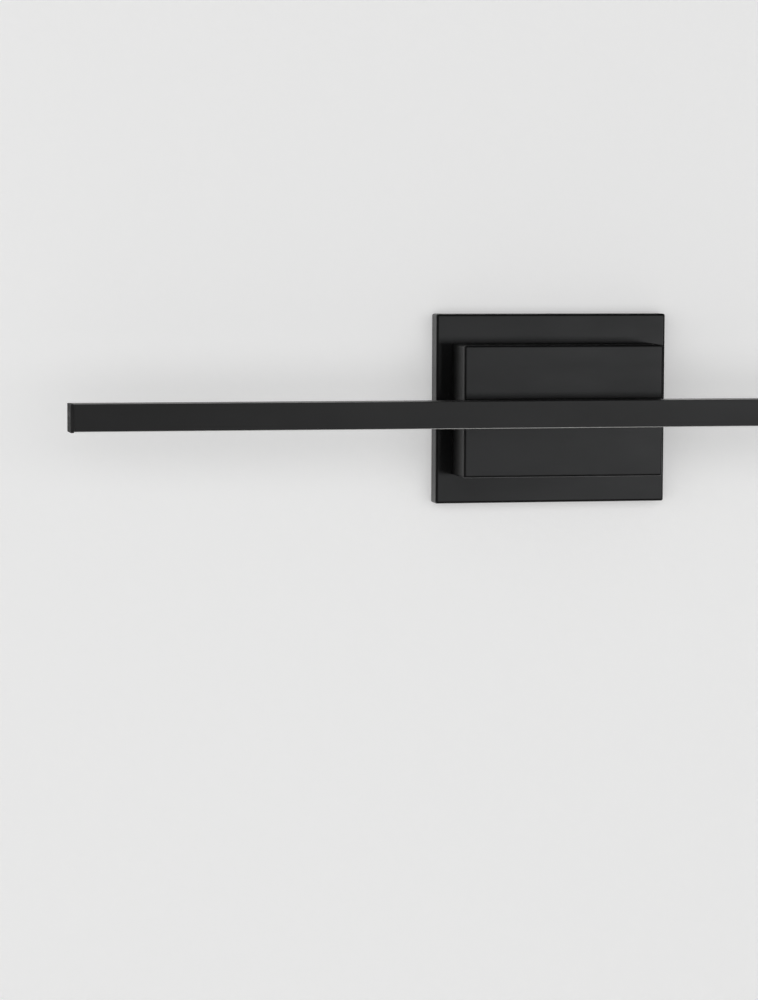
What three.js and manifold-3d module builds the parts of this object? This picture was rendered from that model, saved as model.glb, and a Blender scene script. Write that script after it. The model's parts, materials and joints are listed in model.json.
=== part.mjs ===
// A wall-mounted LED vanity light bar: a slim square bar held in front of a driver housing on a back plate.
// Millimetres. +X runs along the bar, +Z is up, the wall is the plane y = 0 and the room is towards -Y.
// The origin is the centre of the mounting bracket's rear face, on the wall.
import * as THREE from "three";
import { mergeVertices } from "three/addons/utils/BufferGeometryUtils.js";
import Module from "manifold-3d";

const wasm = await Module();
wasm.setup();

// ---------- driving dimensions ----------
const seat = 0.1; // gap between faces that touch
const loose = 0.3; // gap round a piece that drops into place
const bite = 0.1; // gap between a thread and the hole that it bites into
const pass = 0.35; // gap between a thread and a plain hole
const sides = 10; // facets of a small round piece
const fineSides = 20; // facets of a larger one

const plate = { width: 150, height: 120, depth: 12.5, sheet: 1.2, corner: 1.2, edge: 0.9 };
const housing = { width: 129, height: 83, depth: 32, sheet: 1.2, corner: 1.2, edge: 0.9 };
const flange = { depth: 9, endGap: 8, screwInset: 16 }; // folded inwards at the housing's rear
const bracket = { width: 36, sheet: 1.6, earWidth: 24, earDepth: 10 };
const boxSlot = { spacing: 83.3, width: 5.2, length: 16 }; // for the junction-box screws
const groundPoint = { x: -9, z: -20 };
const grommet = { x: -32, belowDriver: 1.3, bore: 3.2, waist: 4.6, rim: 6.2, lip: 1.2 };
const standoff = { width: 60, height: 15, depth: 13.8, corner: 1, screwSpacing: 40 };
const bushing = { bore: 2, wall: 0.5, rim: 3.6, lip: 1 }; // lines the lead passage into the bar
const bar = { length: 630, depth: 16.5, height: 16.5, wall: 1.3, edge: 0.4 };
const chamber = { height: 6.2, web: 1.2 }; // closed wire chamber along the top of the bar
const port = { radius: 1.6, bore: 0.95, rise: 0.9 }; // rib on the web that the end-cap screws bite into
const webHole = 3.3; // radius of the way down from the chamber to the LED boards
const ledge = { reach: 1, height: 1, above: 2.65 }; // stops over the lens; above is from the bar's lower edge
const lip = { reach: 0.45, height: 0.5 }; // lips that the lens snaps over
const lens = { thickness: 1.6, leg: 1.5, proud: 0.45, edge: 0.25 };
const cap = { thickness: 2, drop: 0.85, tongue: 4, edge: 0.4 };
const board = { width: 11, thickness: 1, endGap: 6, middleGap: 10, tape: 0.25 };
const led = { length: 3.5, width: 2.8, height: 0.7, perBoard: 24, innerGap: 15, outerGap: 6 };
const driver = { length: 98, height: 33, caseDepth: 15, lidDepth: 7, wall: 1.8, corner: 1.5, edge: 0.6 };
const driverEar = { length: 10, height: 12, sheet: 2.4, notch: 8, notchDepth: 4 };
const circuit = { gap: 1.2, thickness: 1.6, lift: 3, post: 1.6, postInset: 4 };
const connector = { length: 22, mouth: 4.3, tip: 3, bore: 2.6, boreDepth: 13, skirt: 3 };
const connectorRow = { pitch: 12, belowScrew: 3, leftEdge: 62 };
const terminal = { outer: 4.8, sheet: 0.8, barrel: 1.6, barrelLength: 5 };
const leadSize = { supply: 2.2, output: 1.5, wireSides: 6 };
const squareNut = { width: 5.5, height: 2.4 };

// Screws: thread radius, length under the head, head radius and height, and the hexagon sunk in the head.
const boxScrewSize = { thread: 1.9, length: 14, head: 3.9, height: 2.6, hex: 1.5 };
const groundScrewSize = { thread: 1.9, length: 5, head: 4, height: 2.6, hex: 1.5 };
const sheetScrewSize = { thread: 1.4, length: 5.5, head: 2.8, height: 1.9, hex: 1.2 };
const capScrewSize = { thread: 0.85, length: 8, head: 1.8, height: 1.1, hex: 0.7 };
const setScrewSize = { thread: 1.9, length: 5, hex: 1, socket: 2, sunk: 0.2 };

// ---------- places worked out from them ----------
const plateInside = plate.sheet - plate.depth;
const plateFront = -plate.depth;
const housingRear = plateFront - seat;
const housingFront = plateFront - housing.depth;
const housingInside = housingFront + housing.sheet;
const standoffFront = housingFront - seat - standoff.depth;
const barRear = standoffFront - seat;
const barMid = barRear - bar.depth / 2;
const innerHalf = bar.depth / 2 - bar.wall;
const barTop = bar.height / 2;
const barBottom = -barTop;
const chamberTop = barTop - bar.wall;
const chamberBottom = chamberTop - chamber.height;
const chamberMid = (chamberTop + chamberBottom) / 2;
const webBottom = chamberBottom - chamber.web;
const channelHalf = bar.length / 2 - cap.thickness - seat;
const boardTop = webBottom - 2 * seat - board.tape;
const boardBottom = boardTop - board.thickness;
const portHeight = chamberBottom + port.rise;
const flangeScrew = {
  x: housing.width / 2 - flange.screwInset,
  z: housing.height / 2 - housing.sheet - flange.depth / 2,
};
const grommetZ = -driver.height / 2 - grommet.belowDriver - grommet.rim;
const connectorBottom = flangeScrew.z - sheetScrewSize.head - connectorRow.belowScrew - connector.length;
const driverRear = plateFront - seat;
const caseFront = driverRear - driver.caseDepth;
const caseFloor = driverRear - driver.wall;
const lidFront = caseFront - seat - driver.lidDepth;
const circuitRear = caseFloor - circuit.lift - seat;
const circuitFront = circuitRear - circuit.thickness;
const standoffScrewSize = {
  ...sheetScrewSize,
  length: housing.sheet + standoff.depth + bar.wall + squareNut.height + 4 * seat + 1,
};
const sideNames = [["left", -1], ["right", 1]];
const endNames = [["bottom", -1], ["top", 1]];

// ---------- materials ----------
function finish(color, roughness, metalness) {
  return new THREE.MeshStandardMaterial({ color, roughness, metalness });
}

const blackCoat = finish(0x18181a, 0.5, 0.2);
const zincPlate = finish(0xb9bcc0, 0.35, 1);
const blackSteel = finish(0x1c1c1e, 0.4, 0.8);
const greenScrew = finish(0x2f7d3c, 0.4, 0.8);
const frosted = finish(0xf2f1ec, 0.45, 0);
const whiteMask = finish(0xeeeeea, 0.55, 0);
const tapeGrey = finish(0x9fb0b8, 0.8, 0);
const whitePlastic = finish(0xe4e4e0, 0.5, 0);
const boardGreen = finish(0x1f6b3a, 0.5, 0);
const ferrite = finish(0x2c2a2a, 0.7, 0.1);
const darkSleeve = finish(0x20242c, 0.35, 0);
const rubber = finish(0x101010, 0.8, 0);
const tinned = finish(0xc9c4b8, 0.35, 1);
const connectorYellow = finish(0xd9a520, 0.5, 0);
const wireBlack = finish(0x1a1a1a, 0.5, 0);
const wireWhite = finish(0xe8e8e4, 0.5, 0);
const wireGreen = finish(0x2b8c45, 0.5, 0);
const wireRed = finish(0xb02a24, 0.5, 0);

// ---------- solid tools ----------
function solidOf(geometry) {
  const bare = geometry.clone();
  bare.deleteAttribute("normal");
  bare.deleteAttribute("uv");
  const merged = mergeVertices(bare, 1e-4);
  const triVerts = new Uint32Array(merged.index.array);
  const vertProperties = merged.attributes.position.array;
  return new wasm.Manifold(new wasm.Mesh({ numProp: 3, vertProperties, triVerts }));
}

function geometryOf(solid) {
  const { numProp, numVert, vertProperties, triVerts } = solid.getMesh();
  const points = new Float32Array(numVert * 3);
  for (let i = 0; i < numVert; i++) points.set(vertProperties.subarray(i * numProp, i * numProp + 3), i * 3);
  const geometry = new THREE.BufferGeometry();
  geometry.setAttribute("position", new THREE.BufferAttribute(points, 3));
  geometry.setIndex(new THREE.BufferAttribute(triVerts, 1));
  geometry.computeVertexNormals();
  return geometry;
}

const joined = (first, ...rest) => rest.reduce((sum, next) => sum.add(next), first);
const without = (first, ...rest) => rest.reduce((left, tool) => left.subtract(tool), first);
const moved = (solid, x, y, z) => {
  const geometry = geometryOf(solid);
  geometry.translate(x, y, z);
  return solidOf(geometry);
};

// A box from one corner to the opposite one, in any order.
function box([x0, y0, z0], [x1, y1, z1]) {
  const made = new THREE.BoxGeometry(Math.abs(x1 - x0), Math.abs(y1 - y0), Math.abs(z1 - z0));
  made.translate((x0 + x1) / 2, (y0 + y1) / 2, (z0 + z1) / 2);
  return solidOf(made);
}

// A round rod along X, Y or Z, centred on a point.
function rod(axis, radius, length, [x, y, z], count = sides) {
  const made = new THREE.CylinderGeometry(radius, radius, length, count);
  if (axis === "x") made.rotateZ(Math.PI / 2);
  if (axis === "z") made.rotateX(Math.PI / 2);
  made.translate(x, y, z);
  return solidOf(made);
}

function rectangle(width, height, corner) {
  const [w, h] = [width / 2, height / 2];
  const shape = new THREE.Shape();
  shape.moveTo(-w + corner, -h);
  shape.lineTo(w - corner, -h);
  shape.absarc(w - corner, -h + corner, corner, -Math.PI / 2, 0);
  shape.absarc(w - corner, h - corner, corner, 0, Math.PI / 2);
  shape.absarc(-w + corner, h - corner, corner, Math.PI / 2, Math.PI);
  shape.absarc(-w + corner, -h + corner, corner, Math.PI, 1.5 * Math.PI);
  return shape;
}

const plainEnds = { bevelEnabled: false, curveSegments: 3 };
const axisX = new THREE.Vector3(1, 0, 0);
const axisY = new THREE.Vector3(0, 1, 0);
const axisZ = new THREE.Vector3(0, 0, 1);
const towardsRoom = new THREE.Matrix4().makeBasis(axisX, axisZ, axisY.clone().negate());
const alongBar = new THREE.Matrix4().makeBasis(axisY, axisZ, axisX);

// An outline in X and Z, carried from y = rear to y = front.
function slab(outline, rear, front) {
  const made = new THREE.ExtrudeGeometry(outline, { depth: rear - front, ...plainEnds });
  made.applyMatrix4(towardsRoom);
  made.translate(0, rear, 0);
  return solidOf(made);
}

// An outline in Y and Z, carried along X from one place to another.
function profile(outline, from, to) {
  const made = new THREE.ExtrudeGeometry(outline, { depth: to - from, ...plainEnds });
  made.applyMatrix4(alongBar);
  made.translate(from, barMid, 0);
  return solidOf(made);
}

// A folded tray with its open rear on y = rear and a rounded edge round its front.
function tray({ width, height, sheet, corner, edge }, depth, rear) {
  const spare = 2 * edge; // the rear bevel lies behind the cut
  const bevel = { bevelThickness: edge, bevelSize: edge, bevelOffset: -edge, bevelSegments: 3 };
  const length = depth + spare - 2 * edge;
  const outline = rectangle(width, height, corner);
  const made = new THREE.ExtrudeGeometry(outline, { depth: length, curveSegments: 3, ...bevel });
  made.applyMatrix4(towardsRoom);
  made.translate(0, rear + spare - edge, 0);
  const behind = box([-width, rear, -height], [width, rear + 4 * edge, height]);
  const inside = rectangle(width - 2 * sheet, height - 2 * sheet, corner);
  const hollow = slab(inside, rear + 4 * edge, rear + sheet - depth);
  return without(solidOf(made), behind, hollow);
}

// A closed ring round the Y axis from an outline of [radius, y] points.
function turned(points, count = sides) {
  const outline = points.map(([r, y]) => new THREE.Vector2(r, y));
  return solidOf(new THREE.LatheGeometry(outline, count));
}

// A screw along Y: the underside of its head is at y = 0, and its tip points to -Y.
function screw({ thread, length, head, height, hex }, flat = false) {
  const point = thread / 2;
  const round = height * 0.35;
  const tip = [[0, -length], [thread - point, -length], [thread, point - length], [thread, 0]];
  const pan = [[head, 0], [head, height - round], [head - round, height], [0, height]];
  const sunk = [[head, height], [0, height]];
  const socket = new THREE.CylinderGeometry(hex, hex, height, 6);
  socket.translate(0, height, 0);
  return without(turned([...tip, ...(flat ? sunk : pan)]), solidOf(socket));
}

// An insulated wire through a list of points.
function wire(points, diameter, steps) {
  const route = new THREE.CatmullRomCurve3(points.map((p) => new THREE.Vector3(...p)), false, "centripetal");
  const section = new THREE.Shape();
  section.absarc(0, 0, diameter / 2, 0, 2 * Math.PI);
  const settings = { steps, curveSegments: leadSize.wireSides / 2, bevelEnabled: false, extrudePath: route };
  return solidOf(new THREE.ExtrudeGeometry(section, settings));
}

// ---------- assembly tools ----------
const light = new THREE.Group();

function place(name, solid, material, position = [0, 0, 0], rotation = [0, 0, 0]) {
  const mesh = new THREE.Mesh(geometryOf(solid), material);
  mesh.name = name;
  mesh.position.set(...position);
  mesh.rotation.set(...rotation);
  light.add(mesh);
}

const headToRoom = [Math.PI, 0, 0];
const headToWall = [0, 0, 0];
const headAlongX = (side) => [0, 0, (-side * Math.PI) / 2];

// ---------- mounting bracket and what fastens it ----------
const bracketEnd = plate.height / 2 - plate.sheet - loose;
const rimScrewY = plateFront / 2;

function mountingBracket() {
  const { width, sheet, earWidth, earDepth } = bracket;
  const strap = box([-width / 2, 0, -bracketEnd], [width / 2, -sheet, bracketEnd]);
  const ears = endNames.map(([, up]) => {
    const fold = up * (bracketEnd - sheet);
    const ear = box([-earWidth / 2, 0, fold], [earWidth / 2, -earDepth, up * bracketEnd]);
    return without(ear, rod("z", setScrewSize.thread + bite, 3 * sheet, [0, rimScrewY, up * bracketEnd]));
  });
  const slots = endNames.map(([, up]) => {
    const slot = slab(rectangle(boxSlot.width, boxSlot.length, boxSlot.width / 2.01), sheet, -2 * sheet);
    return moved(slot, 0, 0, (up * boxSlot.spacing) / 2);
  });
  const groundHole = rod("y", groundScrewSize.thread + bite, 4 * sheet, [groundPoint.x, 0, groundPoint.z]);
  return without(joined(strap, ...ears), ...slots, groundHole);
}

place("mounting_bracket", mountingBracket(), zincPlate);
for (const [name, up] of endNames) {
  const at = [0, -bracket.sheet - seat, (up * boxSlot.spacing) / 2];
  place(`box_screw_${name}`, screw(boxScrewSize), zincPlate, at, headToRoom);
}

const terminalRear = -bracket.sheet - seat;
const terminalFront = terminalRear - terminal.sheet;
const barrelStart = groundPoint.x - groundScrewSize.head;
const barrelEnd = barrelStart - terminal.barrelLength;

function earthTerminal() {
  const { x, z } = groundPoint;
  const disc = rod("y", terminal.outer, terminal.sheet, [x, (terminalRear + terminalFront) / 2, z]);
  const barrelMid = [(barrelStart + barrelEnd) / 2, terminalRear - terminal.barrel, z];
  const barrel = rod("x", terminal.barrel, terminal.barrelLength, barrelMid);
  const hole = rod("y", groundScrewSize.thread + pass, 4 * terminal.barrel, [x, terminalFront, z]);
  return without(joined(disc, barrel), hole);
}

place("earth_terminal", earthTerminal(), tinned);
const groundScrewAt = [groundPoint.x, terminalFront - seat, groundPoint.z];
place("ground_screw", screw(groundScrewSize), greenScrew, groundScrewAt, headToRoom);

// ---------- back plate ----------
function backPlate() {
  const grommetAt = [grommet.x, plateInside, grommetZ];
  const holes = [rod("y", grommet.waist + bite, 3 * plate.sheet, grommetAt, fineSides)];
  for (const [, side] of sideNames) {
    const driverHole = [side * driverScrewX, plateInside, 0];
    holes.push(rod("y", sheetScrewSize.thread + bite, 3 * plate.sheet, driverHole));
    for (const [, up] of endNames) {
      const at = [side * flangeScrew.x, plateInside, up * flangeScrew.z];
      holes.push(rod("y", sheetScrewSize.thread + pass, 3 * plate.sheet, at));
    }
  }
  for (const [, up] of endNames) {
    const at = [0, rimScrewY, (up * plate.height) / 2];
    holes.push(rod("z", setScrewSize.thread + pass, 3 * plate.sheet, at));
  }
  return without(tray(plate, plate.depth, 0), ...holes);
}

const driverScrewX = driver.length / 2 + driverEar.length / 2;
place("back_plate", backPlate(), blackCoat);

function setScrew({ thread, length, hex, socket }) {
  const point = thread / 3;
  const outline = [[0, -length], [thread - point, -length], [thread, point - length], [thread, 0], [0, 0]];
  return without(turned(outline), rod("y", hex, 2 * socket, [0, 0, 0], 6));
}

for (const [name, up] of endNames) {
  const at = [0, rimScrewY, up * (plate.height / 2 - setScrewSize.sunk)];
  place(`plate_set_screw_${name}`, setScrew(setScrewSize), blackSteel, at, [(up * Math.PI) / 2, 0, 0]);
}

function plateGrommet() {
  const { bore, waist, rim, lip } = grommet;
  const [rearFace, frontFace] = [plateInside + seat, plateFront - seat];
  const outline = [
    [bore, frontFace - lip],
    [rim, frontFace - lip],
    [rim, frontFace],
    [waist, frontFace],
    [waist, rearFace],
    [rim, rearFace],
    [rim, rearFace + lip],
    [bore, rearFace + lip],
    [bore, frontFace - lip],
  ];
  return turned(outline, fineSides);
}

place("plate_grommet", plateGrommet(), rubber, [grommet.x, 0, grommetZ]);

// ---------- driver housing ----------
const standoffScrewX = standoff.screwSpacing / 2;
const passageRadius = bushing.bore + bushing.wall + loose;

function driverHousing() {
  const shell = tray(housing, housing.depth - seat, housingRear);
  const wallInside = housing.height / 2 - housing.sheet;
  const flangeHalf = housing.width / 2 - housing.sheet - flange.endGap;
  const flanges = endNames.map(([, up]) => {
    const root = up * (wallInside + housing.sheet / 2);
    return box(
      [-flangeHalf, housingRear, root],
      [flangeHalf, housingRear - housing.sheet, up * (wallInside - flange.depth)],
    );
  });
  const grommetAt = [grommet.x, housingRear, grommetZ];
  const grommetRoom = rod("y", grommet.rim + loose, 4 * housing.sheet, grommetAt, fineSides);
  const holes = [rod("y", passageRadius, 4 * housing.sheet, [0, housingFront, chamberMid])];
  for (const [, side] of sideNames) {
    const at = [side * standoffScrewX, housingFront, chamberMid];
    holes.push(rod("y", standoffScrewSize.thread + pass, 4 * housing.sheet, at));
    for (const [, up] of endNames) {
      const tapped = [side * flangeScrew.x, housingRear, up * flangeScrew.z];
      holes.push(rod("y", sheetScrewSize.thread + bite, 4 * housing.sheet, tapped));
    }
  }
  return without(joined(shell, ...flanges), grommetRoom, ...holes);
}

place("driver_housing", driverHousing(), blackCoat);
for (const [end, up] of endNames) {
  for (const [side, across] of sideNames) {
    const at = [across * flangeScrew.x, plateInside + seat, up * flangeScrew.z];
    place(`housing_screw_${end}_${side}`, screw(sheetScrewSize), zincPlate, at, headToWall);
  }
}

// ---------- LED driver ----------
const circuitHalf = {
  x: driver.length / 2 - driver.wall - circuit.gap,
  z: driver.height / 2 - driver.wall - circuit.gap,
};

function driverCase() {
  const { length, height, wall, corner } = driver;
  const outer = slab(rectangle(length, height, corner), driverRear, caseFront);
  const hollow = slab(rectangle(length - 2 * wall, height - 2 * wall, corner), caseFloor, caseFront - wall);
  const notch = box(
    [-length, caseFront - wall, -driverEar.notch / 2],
    [length, caseFront + driverEar.notchDepth, driverEar.notch / 2],
  );
  const ears = sideNames.map(([, side]) => {
    const ear = box(
      [side * (length / 2 - wall / 2), driverRear, -driverEar.height / 2],
      [side * (length / 2 + driverEar.length), driverRear - driverEar.sheet, driverEar.height / 2],
    );
    const at = [side * driverScrewX, driverRear, 0];
    return without(ear, rod("y", sheetScrewSize.thread + pass, 4 * driverEar.sheet, at));
  });
  const posts = sideNames.flatMap(([, side]) => endNames.map(([, up]) => {
    const [x, z] = [side * (circuitHalf.x - circuit.postInset), up * (circuitHalf.z - circuit.postInset)];
    const length = circuit.lift + driver.wall / 2;
    return rod("y", circuit.post, length, [x, caseFloor - circuit.lift + length / 2, z]);
  }));
  return joined(without(outer, hollow, notch), ...ears, ...posts);
}

function driverLid() {
  const { length, height, lidDepth, wall, corner, edge } = driver;
  return tray({ width: length, height, sheet: wall, corner, edge }, lidDepth, caseFront - seat);
}

function driverTransformer() {
  const core = { x: 12, z: 9, depth: 9 };
  const winding = { x: 8, z: 11, lift: 1, depth: 7 };
  const rear = circuitFront - seat;
  const windingRear = rear - winding.lift;
  return joined(
    box([-core.x, rear, -core.z], [core.x, rear - core.depth, core.z]),
    box([-winding.x, windingRear, -winding.z], [winding.x, windingRear - winding.depth, winding.z]),
  );
}

const smoothing = { x: 26, z: 5, radius: 5, height: 11 };
const choke = { x: -26, z: 0, outer: 8, inner: 3, height: 6, round: 1.5 };

function driverChoke() {
  const { outer, inner, height, round } = choke;
  const outline = [
    [inner, 0], [outer - round, 0], [outer, round], [outer, height - round], [outer - round, height],
    [inner, height], [inner, 0],
  ];
  return turned(outline, fineSides);
}

place("driver_case", driverCase(), whitePlastic);
place("driver_lid", driverLid(), whitePlastic);
place("driver_circuit_board", box(
  [-circuitHalf.x, circuitRear, -circuitHalf.z],
  [circuitHalf.x, circuitFront, circuitHalf.z],
), boardGreen);
place("driver_transformer", driverTransformer(), ferrite);
const capacitorMid = [smoothing.x, circuitFront - seat - smoothing.height / 2, smoothing.z];
place("driver_capacitor", rod("y", smoothing.radius, smoothing.height, capacitorMid, fineSides), darkSleeve);
place("driver_choke", driverChoke(), ferrite, [choke.x, circuitFront - seat - choke.height, choke.z]);
for (const [name, side] of sideNames) {
  const at = [side * driverScrewX, driverRear - driverEar.sheet - seat, 0];
  place(`driver_screw_${name}`, screw(sheetScrewSize), zincPlate, at, headToRoom);
}

// ---------- supply leads and connectors, in the plate's hollow ----------
const connectorY = (plateInside - bracket.sheet) / 2;
const connectorX = (index) => index * connectorRow.pitch - connectorRow.leftEdge;

function wireConnector() {
  const { length, mouth, tip, bore, boreDepth, skirt } = connector;
  const inner = [[0, boreDepth], [bore, boreDepth], [bore, 0]];
  const outer = [[mouth, 0], [mouth, skirt], [tip, length], [0, length]];
  return turned([...inner, ...outer]);
}

["live", "neutral", "earth"].forEach((name, index) => {
  const at = [connectorX(index), connectorY, connectorBottom];
  place(`${name}_connector`, wireConnector(), connectorYellow, at, [Math.PI / 2, 0, 0]);
});

// From the driver's left end, round below it, through the grommet and up into a connector.
// Side is 1 for the lead on the outside of the turn and -1 for the one on its inside.
function supplyLead(index, side) {
  const apart = leadSize.supply * 0.65;
  const exitY = caseFront + driverEar.notchDepth / 2;
  const driverEnd = -driver.length / 2;
  const turn = driverEnd - 6.5 - side * 1.5;
  const low = grommetZ - side * apart;
  const bore = grommet.x - side * apart;
  const end = connectorX(index);
  return wire([
    [driverEnd + 6, exitY, side * apart],
    [driverEnd - 2, exitY, side * apart],
    [turn, exitY + 1, side * apart - 5],
    [turn + 1, exitY + 3, low + 9],
    [turn + 8, exitY + 5, low],
    [bore - 5, driverRear - 7, low],
    [bore, driverRear - 3, grommetZ],
    [bore, plateInside + 2, grommetZ],
    [bore - 2, connectorY, grommetZ + 5],
    [(bore + end) / 2, connectorY, (grommetZ + connectorBottom) / 2],
    [end, connectorY, connectorBottom - 3],
    [end, connectorY, connectorBottom + connector.boreDepth - 2],
  ], leadSize.supply, 36);
}

place("live_lead", supplyLead(0, 1), wireBlack);
place("neutral_lead", supplyLead(1, -1), wireWhite);

function earthLead() {
  const end = connectorX(2);
  const barrelY = terminalRear - terminal.barrel;
  return wire([
    [barrelEnd - loose, barrelY, groundPoint.z],
    [barrelEnd - 3, barrelY, groundPoint.z],
    [(barrelEnd + end) / 2 - 2, (barrelY + connectorY) / 2, groundPoint.z / 2],
    [end, connectorY, connectorBottom - 6],
    [end, connectorY, connectorBottom + connector.boreDepth - 2],
  ], leadSize.supply, 18);
}

place("earth_lead", earthLead(), wireGreen);

// ---------- standoff that carries the bar ----------
function standoffBlock() {
  const outline = rectangle(standoff.width, standoff.height, standoff.corner);
  const block = slab(outline, housingFront - seat, standoffFront);
  const middle = (housingFront + standoffFront) / 2;
  const bores = sideNames.map(([, side]) => {
    const at = [side * standoffScrewX, middle, chamberMid];
    return rod("y", standoffScrewSize.thread + pass, 2 * standoff.depth, at);
  });
  return without(block, rod("y", passageRadius, 2 * standoff.depth, [0, middle, chamberMid]), ...bores);
}

place("standoff", standoffBlock(), blackCoat);
const nutRear = barRear - bar.wall - seat;
for (const [name, side] of sideNames) {
  const half = squareNut.width / 2;
  const [x, z] = [side * standoffScrewX, chamberMid];
  const blank = box([x - half, nutRear, z - half], [x + half, nutRear - squareNut.height, z + half]);
  const tapped = rod("y", standoffScrewSize.thread + bite, 4 * squareNut.height, [x, nutRear, z]);
  const headAt = [x, housingInside + seat, z];
  place(`standoff_screw_${name}`, screw(standoffScrewSize), zincPlate, headAt, headToWall);
  place(`square_nut_${name}`, without(blank, tapped), zincPlate);
}

function leadBushing() {
  const { bore, wall, rim, lip } = bushing;
  const [front, inside] = [barRear - bar.wall, housingInside + seat];
  const outer = bore + wall;
  return turned([
    [bore, front],
    [outer, front],
    [outer, inside],
    [rim, inside],
    [rim, inside + lip],
    [bore, inside + lip],
    [bore, front],
  ]);
}

place("lead_bushing", leadBushing(), whitePlastic, [0, 0, chamberMid]);

// ---------- bar ----------
// An outline that is the same on both sides of y = 0, from its half with y > 0, listed from one end on y = 0.
function mirrored(half) {
  const other = half.filter(([y]) => y > 0).map(([y, z]) => [-y, z]).reverse();
  return new THREE.Shape([...half, ...other].map(([y, z]) => new THREE.Vector2(y, z)));
}

const ledgeBottom = barBottom + ledge.above;
const lipTop = barBottom + lip.height;

function barBody() {
  const half = bar.depth / 2;
  const { edge } = bar;
  const outline = mirrored([
    [0, barTop], [half - edge, barTop], [half - 0.3 * edge, barTop - 0.3 * edge], [half, barTop - edge],
    [half, barBottom], [innerHalf - lip.reach, barBottom], [innerHalf - lip.reach, lipTop],
    [innerHalf, lipTop], [innerHalf, ledgeBottom], [innerHalf - ledge.reach, ledgeBottom],
    [innerHalf - ledge.reach, ledgeBottom + ledge.height], [innerHalf, ledgeBottom + ledge.height],
    [innerHalf, webBottom], [0, webBottom],
  ].reverse());
  const floor = [[0, chamberBottom], [innerHalf, chamberBottom]];
  const ceiling = [[innerHalf, chamberTop], [0, chamberTop]];
  outline.holes.push(mirrored([...floor, ...ceiling]));
  const rib = rod("x", port.radius, 2 * channelHalf, [0, barMid, portHeight]);
  const ribBore = rod("x", port.bore, 3 * channelHalf, [0, barMid, portHeight]);
  const rearHoles = sideNames.map(([, side]) => {
    const at = [side * standoffScrewX, barRear, chamberMid];
    return rod("y", standoffScrewSize.thread + pass, 3 * bar.wall, at);
  });
  const passage = rod("y", passageRadius, 3 * bar.wall, [0, barRear, chamberMid]);
  const wayDown = rod("z", webHole, 6 * chamber.web, [0, barMid, chamberBottom], fineSides);
  const body = joined(profile(outline, -channelHalf, channelHalf), rib);
  return without(body, ribBore, ...rearHoles, passage, wayDown);
}

function barLens() {
  const shoulder = innerHalf - seat;
  const neck = innerHalf - lip.reach - seat;
  const top = ledgeBottom - seat;
  const bottom = barBottom - lens.proud;
  const recess = bottom + lens.thickness;
  return profile(mirrored([
    [0, bottom], [neck - lens.edge, bottom], [neck, bottom + lens.edge],
    [neck, lipTop + seat], [shoulder, lipTop + seat], [shoulder, top],
    [shoulder - lens.leg, top], [shoulder - lens.leg, recess], [0, recess],
  ]), -channelHalf, channelHalf);
}

place("bar_body", barBody(), blackCoat);
place("lens", barLens(), frosted);

const boardInner = board.middleGap / 2;
const boardOuter = channelHalf - board.endGap;

function ledBoard(side) {
  const half = board.width / 2;
  const [rear, front] = [barMid + half, barMid - half];
  const strip = box([side * boardInner, front, boardTop], [side * boardOuter, rear, boardBottom]);
  const first = boardInner + led.innerGap;
  const pitch = (boardOuter - led.outerGap - first) / (led.perBoard - 1);
  const chips = Array.from({ length: led.perBoard }, (_, i) => {
    const x = side * (first + i * pitch);
    return box(
      [x - led.length / 2, barMid - led.width / 2, boardBottom + board.thickness / 4],
      [x + led.length / 2, barMid + led.width / 2, boardBottom - led.height],
    );
  });
  return joined(strip, ...chips);
}

for (const [name, side] of sideNames) {
  const [rear, front] = [barMid + board.width / 2, barMid - board.width / 2];
  const tapeTop = webBottom - seat;
  const tape = box([side * boardInner, front, tapeTop], [side * boardOuter, rear, tapeTop - board.tape]);
  place(`thermal_tape_${name}`, tape, tapeGrey);
  place(`led_board_${name}`, ledBoard(side), whiteMask);
}

// From the driver's right end, between its lid and the housing, through the bushing and down to a board's
// inner end. Side is 1 for the lead to the right board, which runs on top, and -1 for the other.
function outputLead(side) {
  const size = leadSize.output;
  const exitY = caseFront + driverEar.notchDepth / 2;
  const driverEnd = driver.length / 2;
  const inBore = side * size * 0.6;
  const runY = (lidFront + housingInside) / 2;
  const runZ = chamberMid - sheetScrewSize.head - size * (1.7 - 0.7 * side);
  const under = boardBottom - size / 2 - 0.2;
  return wire([
    [driverEnd - 6, exitY, side * 1.2],
    [driverEnd + 2, exitY, side * 1.2],
    [driverEnd + 6, (exitY + runY) / 2, runZ],
    [driverEnd - 1, runY, runZ],
    [standoffScrewX, runY, runZ],
    [inBore + 4, runY, runZ],
    [inBore + 0.4, runY, chamberMid - 3],
    [inBore, (runY + housingInside) / 2, chamberMid],
    [inBore, housingInside - 1.5, chamberMid],
    [inBore, (housingInside + barRear) / 2, chamberMid],
    [inBore, barRear, chamberMid],
    [inBore * 1.3, (barRear - bar.wall + barMid) / 2, chamberMid - 0.2],
    [side * 1.9, barMid, chamberBottom + 0.5],
    [side * 2.2, barMid, webBottom - 0.6],
    [side * (boardInner - 0.5), barMid, under - 0.4],
    [side * (boardInner + 5), barMid, under],
  ], size, 52);
}

place("negative_lead", outputLead(-1), wireBlack);
place("positive_lead", outputLead(1), wireRed);

function boardJumper() {
  const y = barMid + board.width / 2 - leadSize.output;
  const under = boardBottom - leadSize.output / 2 - 0.2;
  const reach = boardInner + 4;
  const points = [
    [-reach, y, under],
    [-boardInner, y, under - 0.2],
    [0, y, under - 0.6],
    [boardInner, y, under - 0.2],
    [reach, y, under],
  ];
  return wire(points, leadSize.output, 10);
}

place("board_jumper", boardJumper(), wireWhite);

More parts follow.
